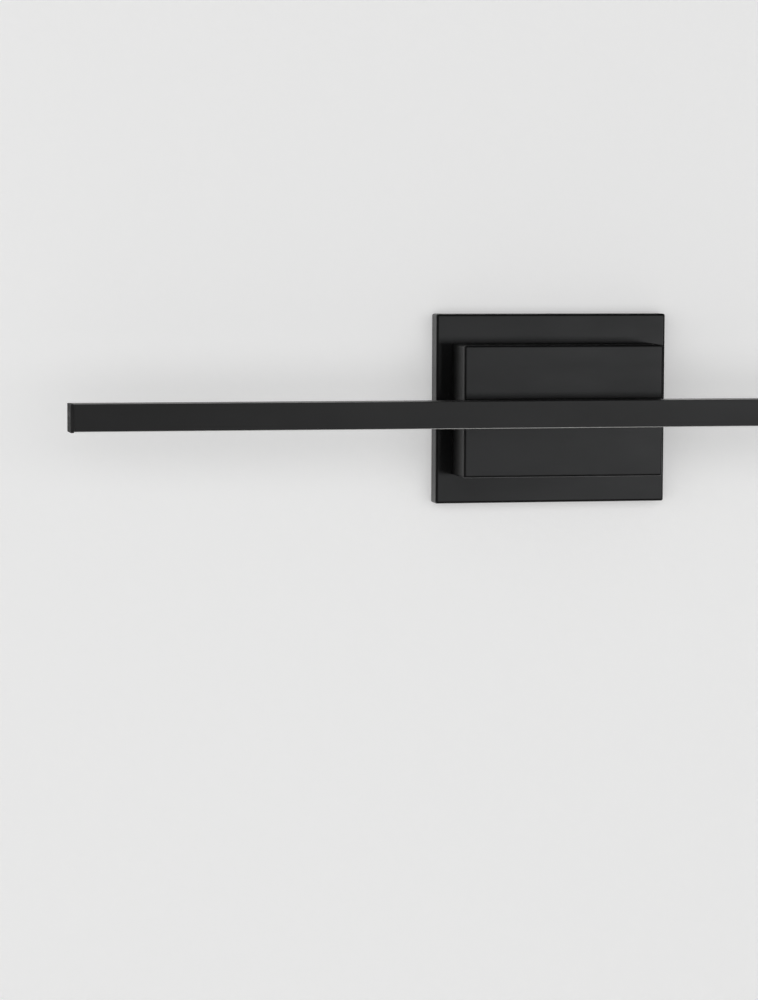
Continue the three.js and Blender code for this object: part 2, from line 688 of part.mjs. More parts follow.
// ---------- end caps ----------
function endCap(side) {
  const outer = side * (bar.length / 2);
  const inner = outer - side * cap.thickness;
  const half = bar.depth / 2;
  const low = barBottom - cap.drop;
  const face = mirrored([
    [0, low], [half - cap.edge, low], [half, low + cap.edge],
    [half, barTop - cap.edge], [half - cap.edge, barTop], [0, barTop],
  ]);
  const tongueEnd = side * (channelHalf - cap.tongue);
  const reach = innerHalf - loose;
  const root = inner + (side * cap.thickness) / 4;
  const upper = box(
    [root, barMid - reach, chamberTop - loose],
    [tongueEnd, barMid + reach, portHeight + port.radius + loose],
  );
  const lower = box(
    [root, barMid - reach, webBottom - loose],
    [tongueEnd, barMid + reach, ledgeBottom + ledge.height + loose],
  );
  const hole = rod("x", capScrewSize.thread + pass, 4 * cap.thickness, [outer, barMid, portHeight]);
  const { thread, head, height } = capScrewSize;
  const sink = new THREE.CylinderGeometry(head + pass, thread + pass, height + seat, sides);
  sink.rotateZ((-side * Math.PI) / 2);
  sink.translate(outer - (side * (height + seat)) / 2 + side * 0.01, barMid, portHeight);
  const plateSolid = profile(face, Math.min(outer, inner), Math.max(outer, inner));
  return without(joined(plateSolid, upper, lower), hole, solidOf(sink));
}

for (const [name, side] of sideNames) {
  place(`end_cap_${name}`, endCap(side), blackCoat);
  const at = [side * (bar.length / 2 - capScrewSize.height - seat), barMid, portHeight];
  place(`end_cap_screw_${name}`, screw(capScrewSize, true), blackSteel, at, headAlongX(side));
}

export default light;
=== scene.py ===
import json
import math

import bmesh
import bpy
from mathutils import Matrix, Vector


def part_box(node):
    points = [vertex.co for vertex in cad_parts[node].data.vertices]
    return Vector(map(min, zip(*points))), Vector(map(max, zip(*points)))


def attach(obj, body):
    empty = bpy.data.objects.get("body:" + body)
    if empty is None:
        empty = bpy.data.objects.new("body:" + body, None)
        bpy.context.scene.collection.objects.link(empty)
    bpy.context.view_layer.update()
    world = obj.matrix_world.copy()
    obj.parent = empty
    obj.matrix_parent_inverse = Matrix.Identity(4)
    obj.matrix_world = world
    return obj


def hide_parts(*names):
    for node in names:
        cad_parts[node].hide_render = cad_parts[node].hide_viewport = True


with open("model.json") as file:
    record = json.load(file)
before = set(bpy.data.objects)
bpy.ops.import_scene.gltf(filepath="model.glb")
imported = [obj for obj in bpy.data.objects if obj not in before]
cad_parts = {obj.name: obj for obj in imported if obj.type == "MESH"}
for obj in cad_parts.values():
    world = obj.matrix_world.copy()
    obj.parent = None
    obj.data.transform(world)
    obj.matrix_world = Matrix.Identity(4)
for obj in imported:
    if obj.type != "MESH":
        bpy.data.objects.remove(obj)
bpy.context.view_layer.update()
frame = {"nodes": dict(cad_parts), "record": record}
mm = 0.001
print("frame loaded:", len(frame["nodes"]), "nodes")


viewPoint = {
    "place": (-0.5946, -2.2529, 0.1314),
    "turn": 12.165,  # degrees to the right of straight at the wall
    "down": 4.702,  # degrees below level
    "roll": 0.26,
    "lens": 131.18,
    "nearest": 0.05,
    "farthest": 60,
}


def setCamera():
    turn, down, roll = (math.radians(viewPoint[k]) for k in ("turn", "down", "roll"))
    ahead = Vector((
        math.sin(turn) * math.cos(down),
        math.cos(turn) * math.cos(down),
        -math.sin(down),
    ))
    right = ahead.cross(Vector((0, 0, 1))).normalized()
    up = right.cross(ahead)
    tilted = right * math.cos(roll) + up * math.sin(roll)
    up = up * math.cos(roll) - right * math.sin(roll)
    camera = bpy.data.objects.new("camera", bpy.data.cameras.new("camera"))
    bpy.context.scene.collection.objects.link(camera)
    facing = Matrix((tilted, up, -ahead)).transposed().to_4x4()
    camera.matrix_world = Matrix.Translation(viewPoint["place"]) @ facing
    camera.data.lens = viewPoint["lens"]
    camera.data.clip_start = viewPoint["nearest"]
    camera.data.clip_end = viewPoint["farthest"]
    bpy.context.scene.camera = camera


setCamera()

# where each light hangs, what it points at, its size in metres, how bright its face is,
# and whether it lights the paint, the gloss or both
studioLights = {
    "softRoom": {
        "place": (-0.8, -3.4, 0.2), "aim": (-0.2, 0, 0), "size": (11, 3.4), "bright": 1.0,
        "tint": (1, 1, 1), "lights": "paint",
    },
    "lowWindow": {
        "place": (1.95, -4.05, -0.20), "aim": (0, 0, 0), "size": (2.3, 0.71), "bright": 4.5,
        "tint": (0.97, 0.985, 1.0), "lights": "gloss",
    },
    "behindWall": {
        "place": (0, 2.6, 0.5), "aim": (0, 0, 0), "size": (2.4, 2.4), "bright": 1.1,
        "tint": (1, 1, 1), "lights": "both",
    },
}
room = {
    "air": 0.24,  # strength of the light that comes from all round
    "shown": 0.82,  # strength of what is seen past the wall
    "wallHalf": 4.0,
    "wallTop": 3.0,
    "floor": -2.0,
    "floorHalf": 7.0,
}


def hangLight(name, facts):
    lamp = bpy.data.lights.new(name, "AREA")
    lamp.shape = "RECTANGLE"
    lamp.size, lamp.size_y = facts["size"]
    lamp.energy = facts["bright"] * math.pi * lamp.size * lamp.size_y
    lamp.color = facts["tint"]
    hung = bpy.data.objects.new(name, lamp)
    hung.location = facts["place"]
    sight = Vector(facts["aim"]) - Vector(facts["place"])
    hung.rotation_euler = sight.to_track_quat("-Z", "Y").to_euler()
    hung.visible_camera = False
    hung.visible_glossy = facts["lights"] != "paint"
    hung.visible_diffuse = facts["lights"] != "gloss"
    bpy.context.scene.collection.objects.link(hung)


for name, facts in studioLights.items():
    hangLight(name, facts)
bpy.context.scene.view_settings.view_transform = "Standard"


mixFactor, mixFirst, mixSecond, mixResult = 0, 6, 7, 2  # a Mix node's sockets when it mixes colours


class Tap:
    # one node output; sums written on it add the nodes that work them out
    def __init__(self, tree, socket=None):
        self.tree = tree
        self.socket = socket

    def node(self, kind, settings=None, inputs=None, output=0):
        made = self.tree.nodes.new(kind)
        for name, value in (settings or {}).items():
            setattr(made, name, value)
        for name, value in (inputs or {}).items():
            if isinstance(value, Tap):
                self.tree.links.new(value.socket, made.inputs[name])
            else:
                made.inputs[name].default_value = value
        return Tap(self.tree, made.outputs[output]) if len(made.outputs) else None

    def widen(self, side, size):
        # a plain number or colour, written out to as many values as the other side has
        if isinstance(side, Tap):
            return side
        return ((side, side, side, 1) if isinstance(side, (int, float)) else (*side, 1))[:size]

    def sum(self, kind, first, second):
        types = [side.socket.type for side in (first, second) if isinstance(side, Tap)]
        if "RGBA" in types:
            settings = {"data_type": "RGBA", "blend_type": kind}
            inputs = {mixFactor: 1.0, mixFirst: self.widen(first, 4), mixSecond: self.widen(second, 4)}
            return self.node("ShaderNodeMix", settings, inputs, mixResult)
        if "VECTOR" in types:
            inputs = {0: self.widen(first, 3), 1: self.widen(second, 3)}
            return self.node("ShaderNodeVectorMath", {"operation": kind}, inputs)
        return self.node("ShaderNodeMath", {"operation": kind}, {0: first, 1: second})

    def __add__(self, other):
        return self.sum("ADD", self, other)

    def __radd__(self, other):
        return self.sum("ADD", other, self)

    def __sub__(self, other):
        return self.sum("SUBTRACT", self, other)

    def __rsub__(self, other):
        return self.sum("SUBTRACT", other, self)

    def __mul__(self, other):
        return self.sum("MULTIPLY", self, other)

    def __rmul__(self, other):
        return self.sum("MULTIPLY", other, self)

    def between(self, low, high):
        inputs = {mixFactor: self, mixFirst: self.widen(low, 4), mixSecond: self.widen(high, 4)}
        return self.node("ShaderNodeMix", {"data_type": "RGBA"}, inputs, mixResult)

    def ramp(self, start, end):
        # 0 up to start, 1 from end, and a soft step between them
        inputs = {"Value": self, "From Min": start, "From Max": end}
        return self.node("ShaderNodeMapRange", {"interpolation_type": "SMOOTHSTEP"}, inputs)

    def grain(self, scale, detail=2.0, seed=0.0, stretch=(1, 1, 1)):
        place = self.node("ShaderNodeTexCoord", output="Object") * stretch
        inputs = {"Vector": place, "Scale": scale, "Detail": detail, "W": seed}
        return self.node("ShaderNodeTexNoise", {"noise_dimensions": "4D"}, inputs, "Fac")

    def axis(self, name, of="Object"):
        source = "ShaderNodeNewGeometry" if of == "Normal" else "ShaderNodeTexCoord"
        return self.node("ShaderNodeSeparateXYZ", None, {0: self.node(source, output=of)}, name)

    def bump(self, height, depth, normal=None):
        inputs = {"Height": height, "Distance": depth, "Strength": 1.0}
        if normal:
            inputs["Normal"] = normal
        return self.node("ShaderNodeBump", None, inputs)


def newMaterial(name):
    material = bpy.data.materials.new(name)
    material.use_nodes = True
    material.node_tree.nodes.clear()
    return material, Tap(material.node_tree)


finishes = {}


def finish(make):
    # keeps the material that make builds, under make's own name
    material, tap = newMaterial(make.__name__)
    shader = tap.node("ShaderNodeBsdfPrincipled", None, make(tap), "BSDF")
    tap.node("ShaderNodeOutputMaterial", None, {"Surface": shader})
    finishes[make.__name__] = material
    return make


coat = {
    "dark": (0.0052, 0.0052, 0.0053),
    "light": (0.0078, 0.0078, 0.0080),
    "barDark": (0.0210, 0.0210, 0.0211),  # the drawn bar is duller than the folded sheet
    "barLight": (0.0245, 0.0245, 0.0248),
    "gloss": 0.36,
    "sheetShine": 0.5,
    "barShine": 0.235,
    "cloud": 14,  # slow shifts of tone, in waves to a metre like the other grains
    "smear": 38,
    "peel": 620,  # lumps of the sprayed coat
    "peelDepth": 0.006 * mm,
    "fine": 2600,
    "fineDepth": 0.0012 * mm,
    "dust": (0.02, 0.02, 0.019),
    "dustGrain": 900,
    "dustShare": 0.3,
}


def coatLook(tap, dark, light, shine):
    cloud = tap.grain(coat["cloud"], 3, 1.0)
    fine = tap.grain(coat["fine"], 2, 2.0)
    peel = tap.grain(coat["peel"], 2.5, 3.0)
    smear = tap.grain(coat["smear"], 4, 4.0, (0.35, 1, 1))
    # dust lies on what faces up
    settled = tap.axis("Z", "Normal").ramp(0.6, 0.98) * tap.grain(coat["dustGrain"], 3, 5.0).ramp(0.5, 0.72)
    colour = cloud.ramp(0.3, 0.7).between(dark, light)
    colour = (settled * coat["dustShare"]).between(colour, coat["dust"])
    rough = coat["gloss"] + smear.ramp(0.35, 0.75) * 0.04 + (fine - 0.5) * 0.05 + settled * 0.12
    normal = tap.bump(fine, coat["fineDepth"], tap.bump(peel, coat["peelDepth"]))
    return {"Base Color": colour, "Roughness": rough, "Normal": normal, "Specular IOR Level": shine}


@finish
def coatedMetal(tap):
    return coatLook(tap, coat["dark"], coat["light"], coat["sheetShine"])


@finish
def coatedBar(tap):
    return coatLook(tap, coat["barDark"], coat["barLight"], coat["barShine"])


# the darker and the lighter tone of each plain finish
tones = {
    "mouldedCap": ((0.0230, 0.0230, 0.0231), (0.0275, 0.0275, 0.0278)),
    "greenScrew": ((0.018, 0.15, 0.045), (0.30, 0.36, 0.28)),
    "tinnedMetal": ((0.50, 0.48, 0.44), (0.66, 0.65, 0.61)),
    "blackenedSteel": ((0.010, 0.010, 0.011), (0.022, 0.021, 0.022)),
    "rubber": ((0.010, 0.010, 0.010), (0.026, 0.026, 0.027)),
    "whitePlastic": ((0.66, 0.66, 0.63), (0.74, 0.74, 0.71)),
    "circuitGreen": ((0.012, 0.11, 0.040), (0.030, 0.19, 0.075)),
    "ferrite": ((0.022, 0.021, 0.021), (0.050, 0.047, 0.045)),
    "darkSleeve": ((0.010, 0.013, 0.022), (0.020, 0.026, 0.042)),
    "connectorYellow": ((0.66, 0.40, 0.020), (0.78, 0.50, 0.035)),
    "wireBlack": ((0.010, 0.010, 0.010), (0.020, 0.020, 0.021)),
    "wireWhite": ((0.66, 0.66, 0.63), (0.76, 0.76, 0.74)),
    "wireGreen": ((0.020, 0.20, 0.050), (0.035, 0.27, 0.075)),
    "wireRed": ((0.34, 0.016, 0.012), (0.46, 0.028, 0.020)),
    "frostedLens": ((0.60, 0.60, 0.585), (0.68, 0.68, 0.665)),
    "boardMask": ((0.70, 0.70, 0.67), (0.78, 0.78, 0.76)),
    "thermalTape": ((0.30, 0.36, 0.39), (0.40, 0.46, 0.49)),
}


@finish
def mouldedCap(tap):
    cloud = tap.grain(60, 3, 6.0)
    grain = tap.grain(3000, 2, 7.0)
    colour = cloud.ramp(0.3, 0.7).between(*tones["mouldedCap"])
    normal = tap.bump(grain, 0.004 * mm)
    inputs = {"Base Color": colour, "Roughness": 0.55 + grain * 0.1, "Normal": normal}
    return {**inputs, "Specular IOR Level": 0.08}


zinc = {"bright": (0.62, 0.63, 0.64), "dull": (0.52, 0.53, 0.55), "straw": (0.58, 0.55, 0.45), "gloss": 0.27}


@finish
def platedSteel(tap):
    spangle = tap.grain(700, 3, 11.0)
    rolled = tap.grain(160, 3, 12.0, (1, 1, 14))
    stain = tap.grain(60, 3, 13.0).ramp(0.55, 0.8)
    colour = spangle.ramp(0.3, 0.7).between(zinc["dull"], zinc["bright"])
    colour = (stain * 0.3).between(colour, zinc["straw"])
    rough = zinc["gloss"] + rolled * 0.12 + stain * 0.1
    normal = tap.bump(rolled, 0.004 * mm, tap.bump(spangle, 0.003 * mm))
    return {"Base Color": colour, "Metallic": 1.0, "Roughness": rough, "Normal": normal}


@finish
def greenScrew(tap):
    wear = tap.grain(900, 3, 21.0).ramp(0.62, 0.74)
    colour = wear.between(*tones["greenScrew"])
    rough = 0.3 + tap.grain(500, 2, 22.0) * 0.15
    normal = tap.bump(tap.grain(1500, 2, 23.0), 0.003 * mm)
    return {"Base Color": colour, "Metallic": 0.7, "Roughness": rough, "Normal": normal}


@finish
def tinnedMetal(tap):
    mottle = tap.grain(700, 3, 31.0)
    colour = mottle.ramp(0.35, 0.7).between(*tones["tinnedMetal"])
    normal = tap.bump(mottle, 0.006 * mm)
    return {"Base Color": colour, "Metallic": 1.0, "Roughness": 0.28 + mottle * 0.2, "Normal": normal}


@finish
def blackenedSteel(tap):
    cloud = tap.grain(800, 3, 41.0)
    worn = tap.grain(2200, 2, 42.0).ramp(0.66, 0.76)
    colour = cloud.ramp(0.3, 0.7).between(*tones["blackenedSteel"])
    colour = (worn * 0.4).between(colour, (0.12, 0.11, 0.11))
    normal = tap.bump(cloud, 0.003 * mm)
    return {"Base Color": colour, "Metallic": 0.85, "Roughness": 0.34 + cloud * 0.14, "Normal": normal}


@finish
def rubber(tap):
    bloom = tap.grain(240, 4, 51.0)
    pores = tap.grain(3200, 2, 52.0)
    colour = bloom.ramp(0.4, 0.8).between(*tones["rubber"])
    normal = tap.bump(pores, 0.008 * mm)
    return {"Base Color": colour, "Roughness": 0.62 + bloom * 0.2, "Normal": normal}


@finish
def whitePlastic(tap):
    cloud = tap.grain(50, 2, 61.0)
    spark = tap.grain(2400, 2, 62.0)
    colour = cloud.ramp(0.3, 0.7).between(*tones["whitePlastic"])
    normal = tap.bump(spark, 0.006 * mm)
    inputs = {"Base Color": colour, "Roughness": 0.38 + spark * 0.12, "Normal": normal}
    return {**inputs, "Subsurface Weight": 0.08, "Subsurface Scale": 0.6 * mm, "Subsurface Radius": (1, 1, 1)}


@finish
def circuitGreen(tap):
    # copper runs under the green mask, and tinned pads where they cross
    across = tap.node("ShaderNodeTexBrick", {"offset": 0.4}, {
        "Vector": tap.node("ShaderNodeTexCoord", output="Object") * (1, 0, 1),
        "Scale": 90.0, "Mortar Size": 0.06, "Mortar Smooth": 0.3,
    }, "Fac")
    weave = tap.grain(1400, 2, 71.0, (1, 1, 0.3))
    colour = across.between(*tones["circuitGreen"])
    rough = 0.28 + weave * 0.14
    normal = tap.bump(weave, 0.003 * mm, tap.bump(across, 0.02 * mm))
    return {"Base Color": colour, "Roughness": rough, "Normal": normal}


@finish
def ferrite(tap):
    grit = tap.grain(2600, 3, 81.0)
    turns = tap.node("ShaderNodeTexWave", {"bands_direction": "Z"}, {
        "Vector": tap.node("ShaderNodeTexCoord", output="Object"), "Scale": 320.0, "Distortion": 0.3,
    }, "Fac")
    colour = grit.between(*tones["ferrite"])
    normal = tap.bump(turns, 0.03 * mm, tap.bump(grit, 0.01 * mm))
    return {"Base Color": colour, "Roughness": 0.55 + grit * 0.25, "Normal": normal}


@finish
def darkSleeve(tap):
    wrinkle = tap.grain(260, 3, 91.0, (1, 0.25, 1))
    colour = wrinkle.between(*tones["darkSleeve"])
    return {"Base Color": colour, "Roughness": 0.25 + wrinkle * 0.15, "Normal": tap.bump(wrinkle, 0.01 * mm)}


@finish
def connectorYellow(tap):
    cloud = tap.grain(120, 3, 101.0)
    spark = tap.grain(2000, 2, 102.0)
    colour = cloud.ramp(0.3, 0.7).between(*tones["connectorYellow"])
    inputs = {"Base Color": colour, "Roughness": 0.36 + spark * 0.14, "Normal": tap.bump(spark, 0.008 * mm)}
    return {**inputs, "Subsurface Weight": 0.1, "Subsurface Scale": 0.5 * mm}


def insulation(tap, dark, light, seed):
    streak = tap.grain(180, 3, seed)
    skin = tap.grain(2600, 2, seed + 1)
    colour = streak.ramp(0.3, 0.7).between(dark, light)
    return {"Base Color": colour, "Roughness": 0.34 + streak * 0.14, "Normal": tap.bump(skin, 0.004 * mm)}


@finish
def wireBlack(tap):
    return insulation(tap, *tones["wireBlack"], 111.0)


@finish
def wireWhite(tap):
    return insulation(tap, *tones["wireWhite"], 121.0)


@finish
def wireGreen(tap):
    return insulation(tap, *tones["wireGreen"], 131.0)


@finish
def wireRed(tap):
    return insulation(tap, *tones["wireRed"], 141.0)


@finish
def frostedLens(tap):
    drawn = tap.grain(90, 3, 151.0, (0.04, 1, 1))
    frost = tap.grain(2800, 2, 152.0)
    colour = drawn.ramp(0.3, 0.7).between(*tones["frostedLens"])
    inputs = {"Base Color": colour, "Roughness": 0.42 + frost * 0.12, "Normal": tap.bump(frost, 0.004 * mm)}
    inputs.update({"Subsurface Weight": 0.25, "Subsurface Scale": 1.0 * mm, "Subsurface Radius": (1, 1, 1)})
    return {**inputs, "IOR": 1.49}


@finish
def boardMask(tap):
    # white mask on the strip, yellow phosphor in the middle of each lamp
    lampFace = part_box("led_board_left")[0].z + 0.65 * mm
    lamp = (lampFace - tap.axis("Z")).ramp(0.0, 0.05 * mm)
    flat = 1 - tap.axis("Z", "Normal").ramp(-0.9, -0.2)
    cloud = tap.grain(300, 3, 161.0)
    mask = cloud.ramp(0.3, 0.7).between(*tones["boardMask"])
    colour = (lamp * flat).between(mask, (0.80, 0.62, 0.12))
    return {"Base Color": colour, "Roughness": 0.42 + cloud * 0.14, "Normal": tap.bump(cloud, 0.006 * mm)}


@finish
def thermalTape(tap):
    weave = tap.grain(1100, 3, 171.0, (1, 1, 0.4))
    colour = weave.between(*tones["thermalTape"])
    return {"Base Color": colour, "Roughness": 0.72 + weave * 0.16, "Normal": tap.bump(weave, 0.02 * mm)}


nodeSlot = {part["node"]: part["material_slot"] for part in frame["record"]["subparts"]}


def finishOf(slot):
    # a finish has its slot's name, written as one word
    first, *others = slot.split("_")
    return finishes[first + "".join(word.title() for word in others)]


print("finishes made:", len(finishes))


def objectFrom(name, bm, outward=True):
    if outward:
        bmesh.ops.recalc_face_normals(bm, faces=bm.faces[:])
    mesh = bpy.data.meshes.new(name)
    bm.to_mesh(mesh)
    bm.free()
    made = bpy.data.objects.new(name, mesh)
    bpy.context.scene.collection.objects.link(made)
    return made


# the glow is a faint light of the wall's own, which lifts the shadows on it
stagePaints = {
    "wallPaint": {"dark": (0.80, 0.80, 0.80), "light": (0.82, 0.82, 0.82), "lump": 260, "glow": 0.25},
    "floorPaint": {"dark": (0.66, 0.66, 0.65), "light": (0.70, 0.70, 0.69), "lump": 90, "glow": 0.0},
}


def stageFinish(name):
    # paint on the front, with an even glow that is painted light lifting the shadows on it; from behind the
    # sheet lets the view through
    facts = stagePaints[name]
    material, tap = newMaterial(name)
    cloud = tap.grain(1.3, 2, 201.0)
    stipple = tap.grain(facts["lump"], 3, 202.0)
    colour = cloud.ramp(0.3, 0.7).between(facts["dark"], facts["light"])
    normal = tap.bump(stipple, 0.1 * mm)
    inputs = {"Base Color": colour, "Roughness": 0.9, "Normal": normal, "Specular IOR Level": 0.2}
    # the glow is painted light: an even emission from the wall, which is no lamp, that lightens the shadows
    # cast on it
    inputs.update({"Emission Color": (1, 1, 1, 1), "Emission Strength": facts["glow"]})
    paint = tap.node("ShaderNodeBsdfPrincipled", None, inputs, "BSDF")
    clear = tap.node("ShaderNodeBsdfTransparent")
    behind = tap.node("ShaderNodeNewGeometry", output="Backfacing")
    shown = tap.node("ShaderNodeMixShader", None, {0: behind, 1: paint, 2: clear})
    tap.node("ShaderNodeOutputMaterial", None, {"Surface": shown})
    return material


def stageSheet(name, outline, material):
    bm = bmesh.new()
    bm.faces.new([bm.verts.new(point) for point in outline])
    sheet = objectFrom(name, bm, outward=False)
    sheet.data.materials.append(material)
    return sheet


def buildStage():
    half, top, low, floorHalf = room["wallHalf"], room["wallTop"], room["floor"], room["floorHalf"]
    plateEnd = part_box("back_plate")[1]
    hidden = 6 * mm  # the opening for the wires stays this far inside the plate's rim
    gap = 0.05 * mm
    x, z = plateEnd.x - hidden, plateEnd.z - hidden
    paint = stageFinish("wallPaint")
    # each outline runs anticlockwise as the room sees it, so that its front faces the room
    above = [(x, 0), (half, 0), (half, top), (-x, top), (-x, z), (x, z)]
    around = [(-half, low), (half, low), (half, 0), (x, 0), (x, -z), (-x, -z), (-x, top), (-half, top)]
    for name, outline in (("wallAbove", above), ("wallAround", around)):
        sheet = stageSheet(name, [(u, gap, v) for u, v in outline], paint)
        sheet.visible_glossy = outline is around  # the top faces of the light stay dark
    corners = ((-1, -1), (1, -1), (1, 1), (-1, 1))
    floor = [(x * floorHalf, y * floorHalf, low) for x, y in corners]
    ground = stageSheet("floor", floor, stageFinish("floorPaint"))
    ground.visible_glossy = False


def setWorld():
    world = bpy.data.worlds.new("studio")
    world.use_nodes = True
    world.node_tree.nodes.clear()
    tap = Tap(world.node_tree)
    seen = tap.node("ShaderNodeLightPath", output="Is Camera Ray")
    strength = room["air"] + seen * (room["shown"] - room["air"])
    air = tap.node("ShaderNodeBackground", None, {"Color": (1, 1, 1, 1), "Strength": strength})
    tap.node("ShaderNodeOutputWorld", None, {"Surface": air})
    world.cycles_visibility.glossy = False
    bpy.context.scene.world = world


buildStage()
setWorld()
print("stage ready")


def turnsOf(sides):
    return [math.radians(360 * i / sides) for i in range(sides)]


def quarterTurn(steps):
    return [math.radians(90 * i / steps) for i in range(steps + 1)]


def arc(across, up, radius, start, end, steps):
    turns = [math.radians(start + (end - start) * i / steps) for i in range(steps + 1)]
    return [(across + radius * math.cos(t), up + radius * math.sin(t)) for t in turns]


def roundedOutline(halfWidth, halfHeight, radius, steps=5):
    outline = []
    for quarter, (sx, sz) in enumerate(((1, 1), (-1, 1), (-1, -1), (1, -1))):
        across, up = sx * (halfWidth - radius), sz * (halfHeight - radius)
        outline += arc(across, up, radius, 90 * quarter, 90 * quarter + 90, steps)
    return outline


def loft(bm, rings, capFirst=True, capLast=True):
    rows = [[bm.verts.new(point) for point in ring] for ring in rings]
    count = len(rows[0])
    for low, high in zip(rows, rows[1:]):
        for i in range(count):
            j = (i + 1) % count
            bm.faces.new((low[i], low[j], high[j], high[i]))
    if capFirst:
        bm.faces.new(rows[0][::-1])
    if capLast:
        bm.faces.new(rows[-1])
    return rows


def addRod(bm, axis, centre, radius, length, sides=32):
    quarter = math.pi / 2
    turns = {"x": Matrix.Rotation(quarter, 4, "Y"), "y": Matrix.Rotation(quarter, 4, "X"), "z": Matrix()}
    bmesh.ops.create_cone(
        bm, cap_ends=True, segments=sides, radius1=radius, radius2=radius,
        depth=length, matrix=Matrix.Translation(centre) @ turns[axis],
    )


def addBlock(bm, low, high):
    low, high = Vector(map(min, low, high)), Vector(map(max, low, high))
    shape = Matrix.Translation((low + high) / 2) @ Matrix.Diagonal((*(high - low), 1))
    return bmesh.ops.create_cube(bm, size=1, matrix=shape)["verts"]


def settle(piece):
    # bakes the modifiers into the mesh
    graph = bpy.context.evaluated_depsgraph_get()
    mesh = bpy.data.meshes.new_from_object(piece.evaluated_get(graph))
    piece.modifiers.clear()
    old, piece.data = piece.data, mesh
    bpy.data.meshes.remove(old)
    mesh.name = piece.name


def carve(piece, fill, operation="DIFFERENCE"):
    # fill draws the tool's solids into a mesh, which is then cut from or joined to the piece
    bm = bmesh.new()
    fill(bm)
    tool = objectFrom("tool", bm)
    step = piece.modifiers.new("carve", "BOOLEAN")
    step.operation = operation
    step.solver = "EXACT"
    step.object = tool
    step.use_self = True
    settle(piece)
    bpy.data.objects.remove(tool)


def soften(piece, width):
    bevel = piece.modifiers.new("soften", "BEVEL")
    bevel.width = width
    bevel.segments = 2
    bevel.limit_method = "ANGLE"
    bevel.angle_limit = math.radians(50)
    settle(piece)


def evenShade(piece, angle=40):
    piece.data.polygons.foreach_set("use_smooth", [True] * len(piece.data.polygons))
    piece.data.set_sharp_from_angle(angle=math.radians(angle))
    even = piece.modifiers.new("even", "WEIGHTED_NORMAL")
    even.keep_sharp = True
    even.weight = 80
    settle(piece)


def fit(piece, *nodes, look=None):
    # the piece stands for these frame nodes, which it hides, and takes the finish of the first node's slot
    # unless a look is named
    slot = nodeSlot[nodes[0]]
    piece.data.materials.clear()
    piece.data.materials.append(finishes[look] if look else finishOf(slot))
    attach(piece, "root")
    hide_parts(*nodes)
    return piece


def foldedTray(name, low, high, shape):
    # a sheet-metal pan, open at the rear
    # its rings run from the middle of the front, over the edge and back inside
    centre = (low + high) / 2
    halfX, halfZ = (high.x - low.x) / 2, (high.z - low.z) / 2
    sheet, corner, edge, fold, lip = (shape[k] * mm for k in ("sheet", "corner", "edge", "fold", "lip"))
    floor = low.y + sheet
    flat, tightest = 0.4 * mm, 0.25 * mm  # from a bend to the next ring, and the least corner radius
    quarter = quarterTurn(6)
    section = [(edge + flat, low.y)]
    section += [(edge - edge * math.sin(t), low.y + edge - edge * math.cos(t)) for t in quarter]
    section += [(lip - lip * math.cos(t), high.y - lip + lip * math.sin(t)) for t in quarter[::3]]
    section += [(sheet - lip + lip * math.sin(t), high.y - lip + lip * math.cos(t)) for t in quarter[::3]]
    section += [(sheet + fold - fold * math.cos(t), floor + fold - fold * math.sin(t)) for t in quarter[::2]]
    section += [(sheet + fold + flat, floor)]
    rings = []
    for inset, y in section:
        outline = roundedOutline(halfX - inset, halfZ - inset, max(corner - inset, tightest))
        rings.append([(centre.x + x, y, centre.z + z) for x, z in outline])
    bm = bmesh.new()
    loft(bm, rings)
    return objectFrom(name, bm)


def addAlong(bm, outline, start, end):
    # an outline in Y and Z carried along X
    loft(bm, [[(x, y, z) for y, z in outline] for x in (start, end)])


def alongBar(name, outline, start, end):
    bm = bmesh.new()
    addAlong(bm, outline, start, end)
    return objectFrom(name, bm)


def turned(name, outline, axis, centre, sides=40, closed=False):
    # outline is [radius, place along the axis]
    rings = []
    for radius, along in outline:
        ring = []
        for t in turnsOf(sides):
            u, v = radius * math.cos(t), radius * math.sin(t)
            ring.append({"x": (along, u, v), "y": (u, along, v), "z": (u, v, along)}[axis])
        rings.append([tuple(Vector(p) + Vector(centre)) for p in ring])
    bm = bmesh.new()
    if closed:
        rings.append(rings[0])
    loft(bm, rings, not closed, not closed)
    if closed:
        bmesh.ops.remove_doubles(bm, verts=bm.verts[:], dist=0.001 * mm)
    return objectFrom(name, bm)


def midOf(node):
    low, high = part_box(node)
    return (low + high) / 2


def drill(bm, node, y, radius, length, sides=32):
    # a hole along Y in line with a node, centred on y
    at = midOf(node)
    addRod(bm, "y", (at.x, y, at.z), radius, length, sides)


# sizes of every piece from here on are in millimetres
plateShape = {
    "sheet": 1.2, "corner": 1.2, "edge": 1.4, "fold": 0.5, "lip": 0.15, "soft": 0.12,
    "grommetHole": 4.7, "driverHole": 1.5, "housingHole": 1.75, "setHole": 2.25,
}


def backPlate():
    low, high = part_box("back_plate")
    plate = foldedTray("backPlate", low, high, plateShape)
    sheet = plateShape["sheet"] * mm

    def holes(bm):
        addRod(bm, "y", midOf("plate_grommet"), plateShape["grommetHole"] * mm, 40 * mm, 48)
        for side in ("left", "right"):
            drill(bm, "driver_screw_" + side, low.y, plateShape["driverHole"] * mm, 6 * sheet)
            for end in ("bottom", "top"):
                drill(bm, f"housing_screw_{end}_{side}", low.y, plateShape["housingHole"] * mm, 6 * sheet)
        for end, edge in (("bottom", low.z), ("top", high.z)):
            at = midOf("plate_set_screw_" + end)
            addRod(bm, "z", (at.x, at.y, edge), plateShape["setHole"] * mm, 4 * sheet)

    carve(plate, holes)
    soften(plate, plateShape["soft"] * mm)
    evenShade(plate)
    return fit(plate, "back_plate")


backPlate()
print("back plate ready")


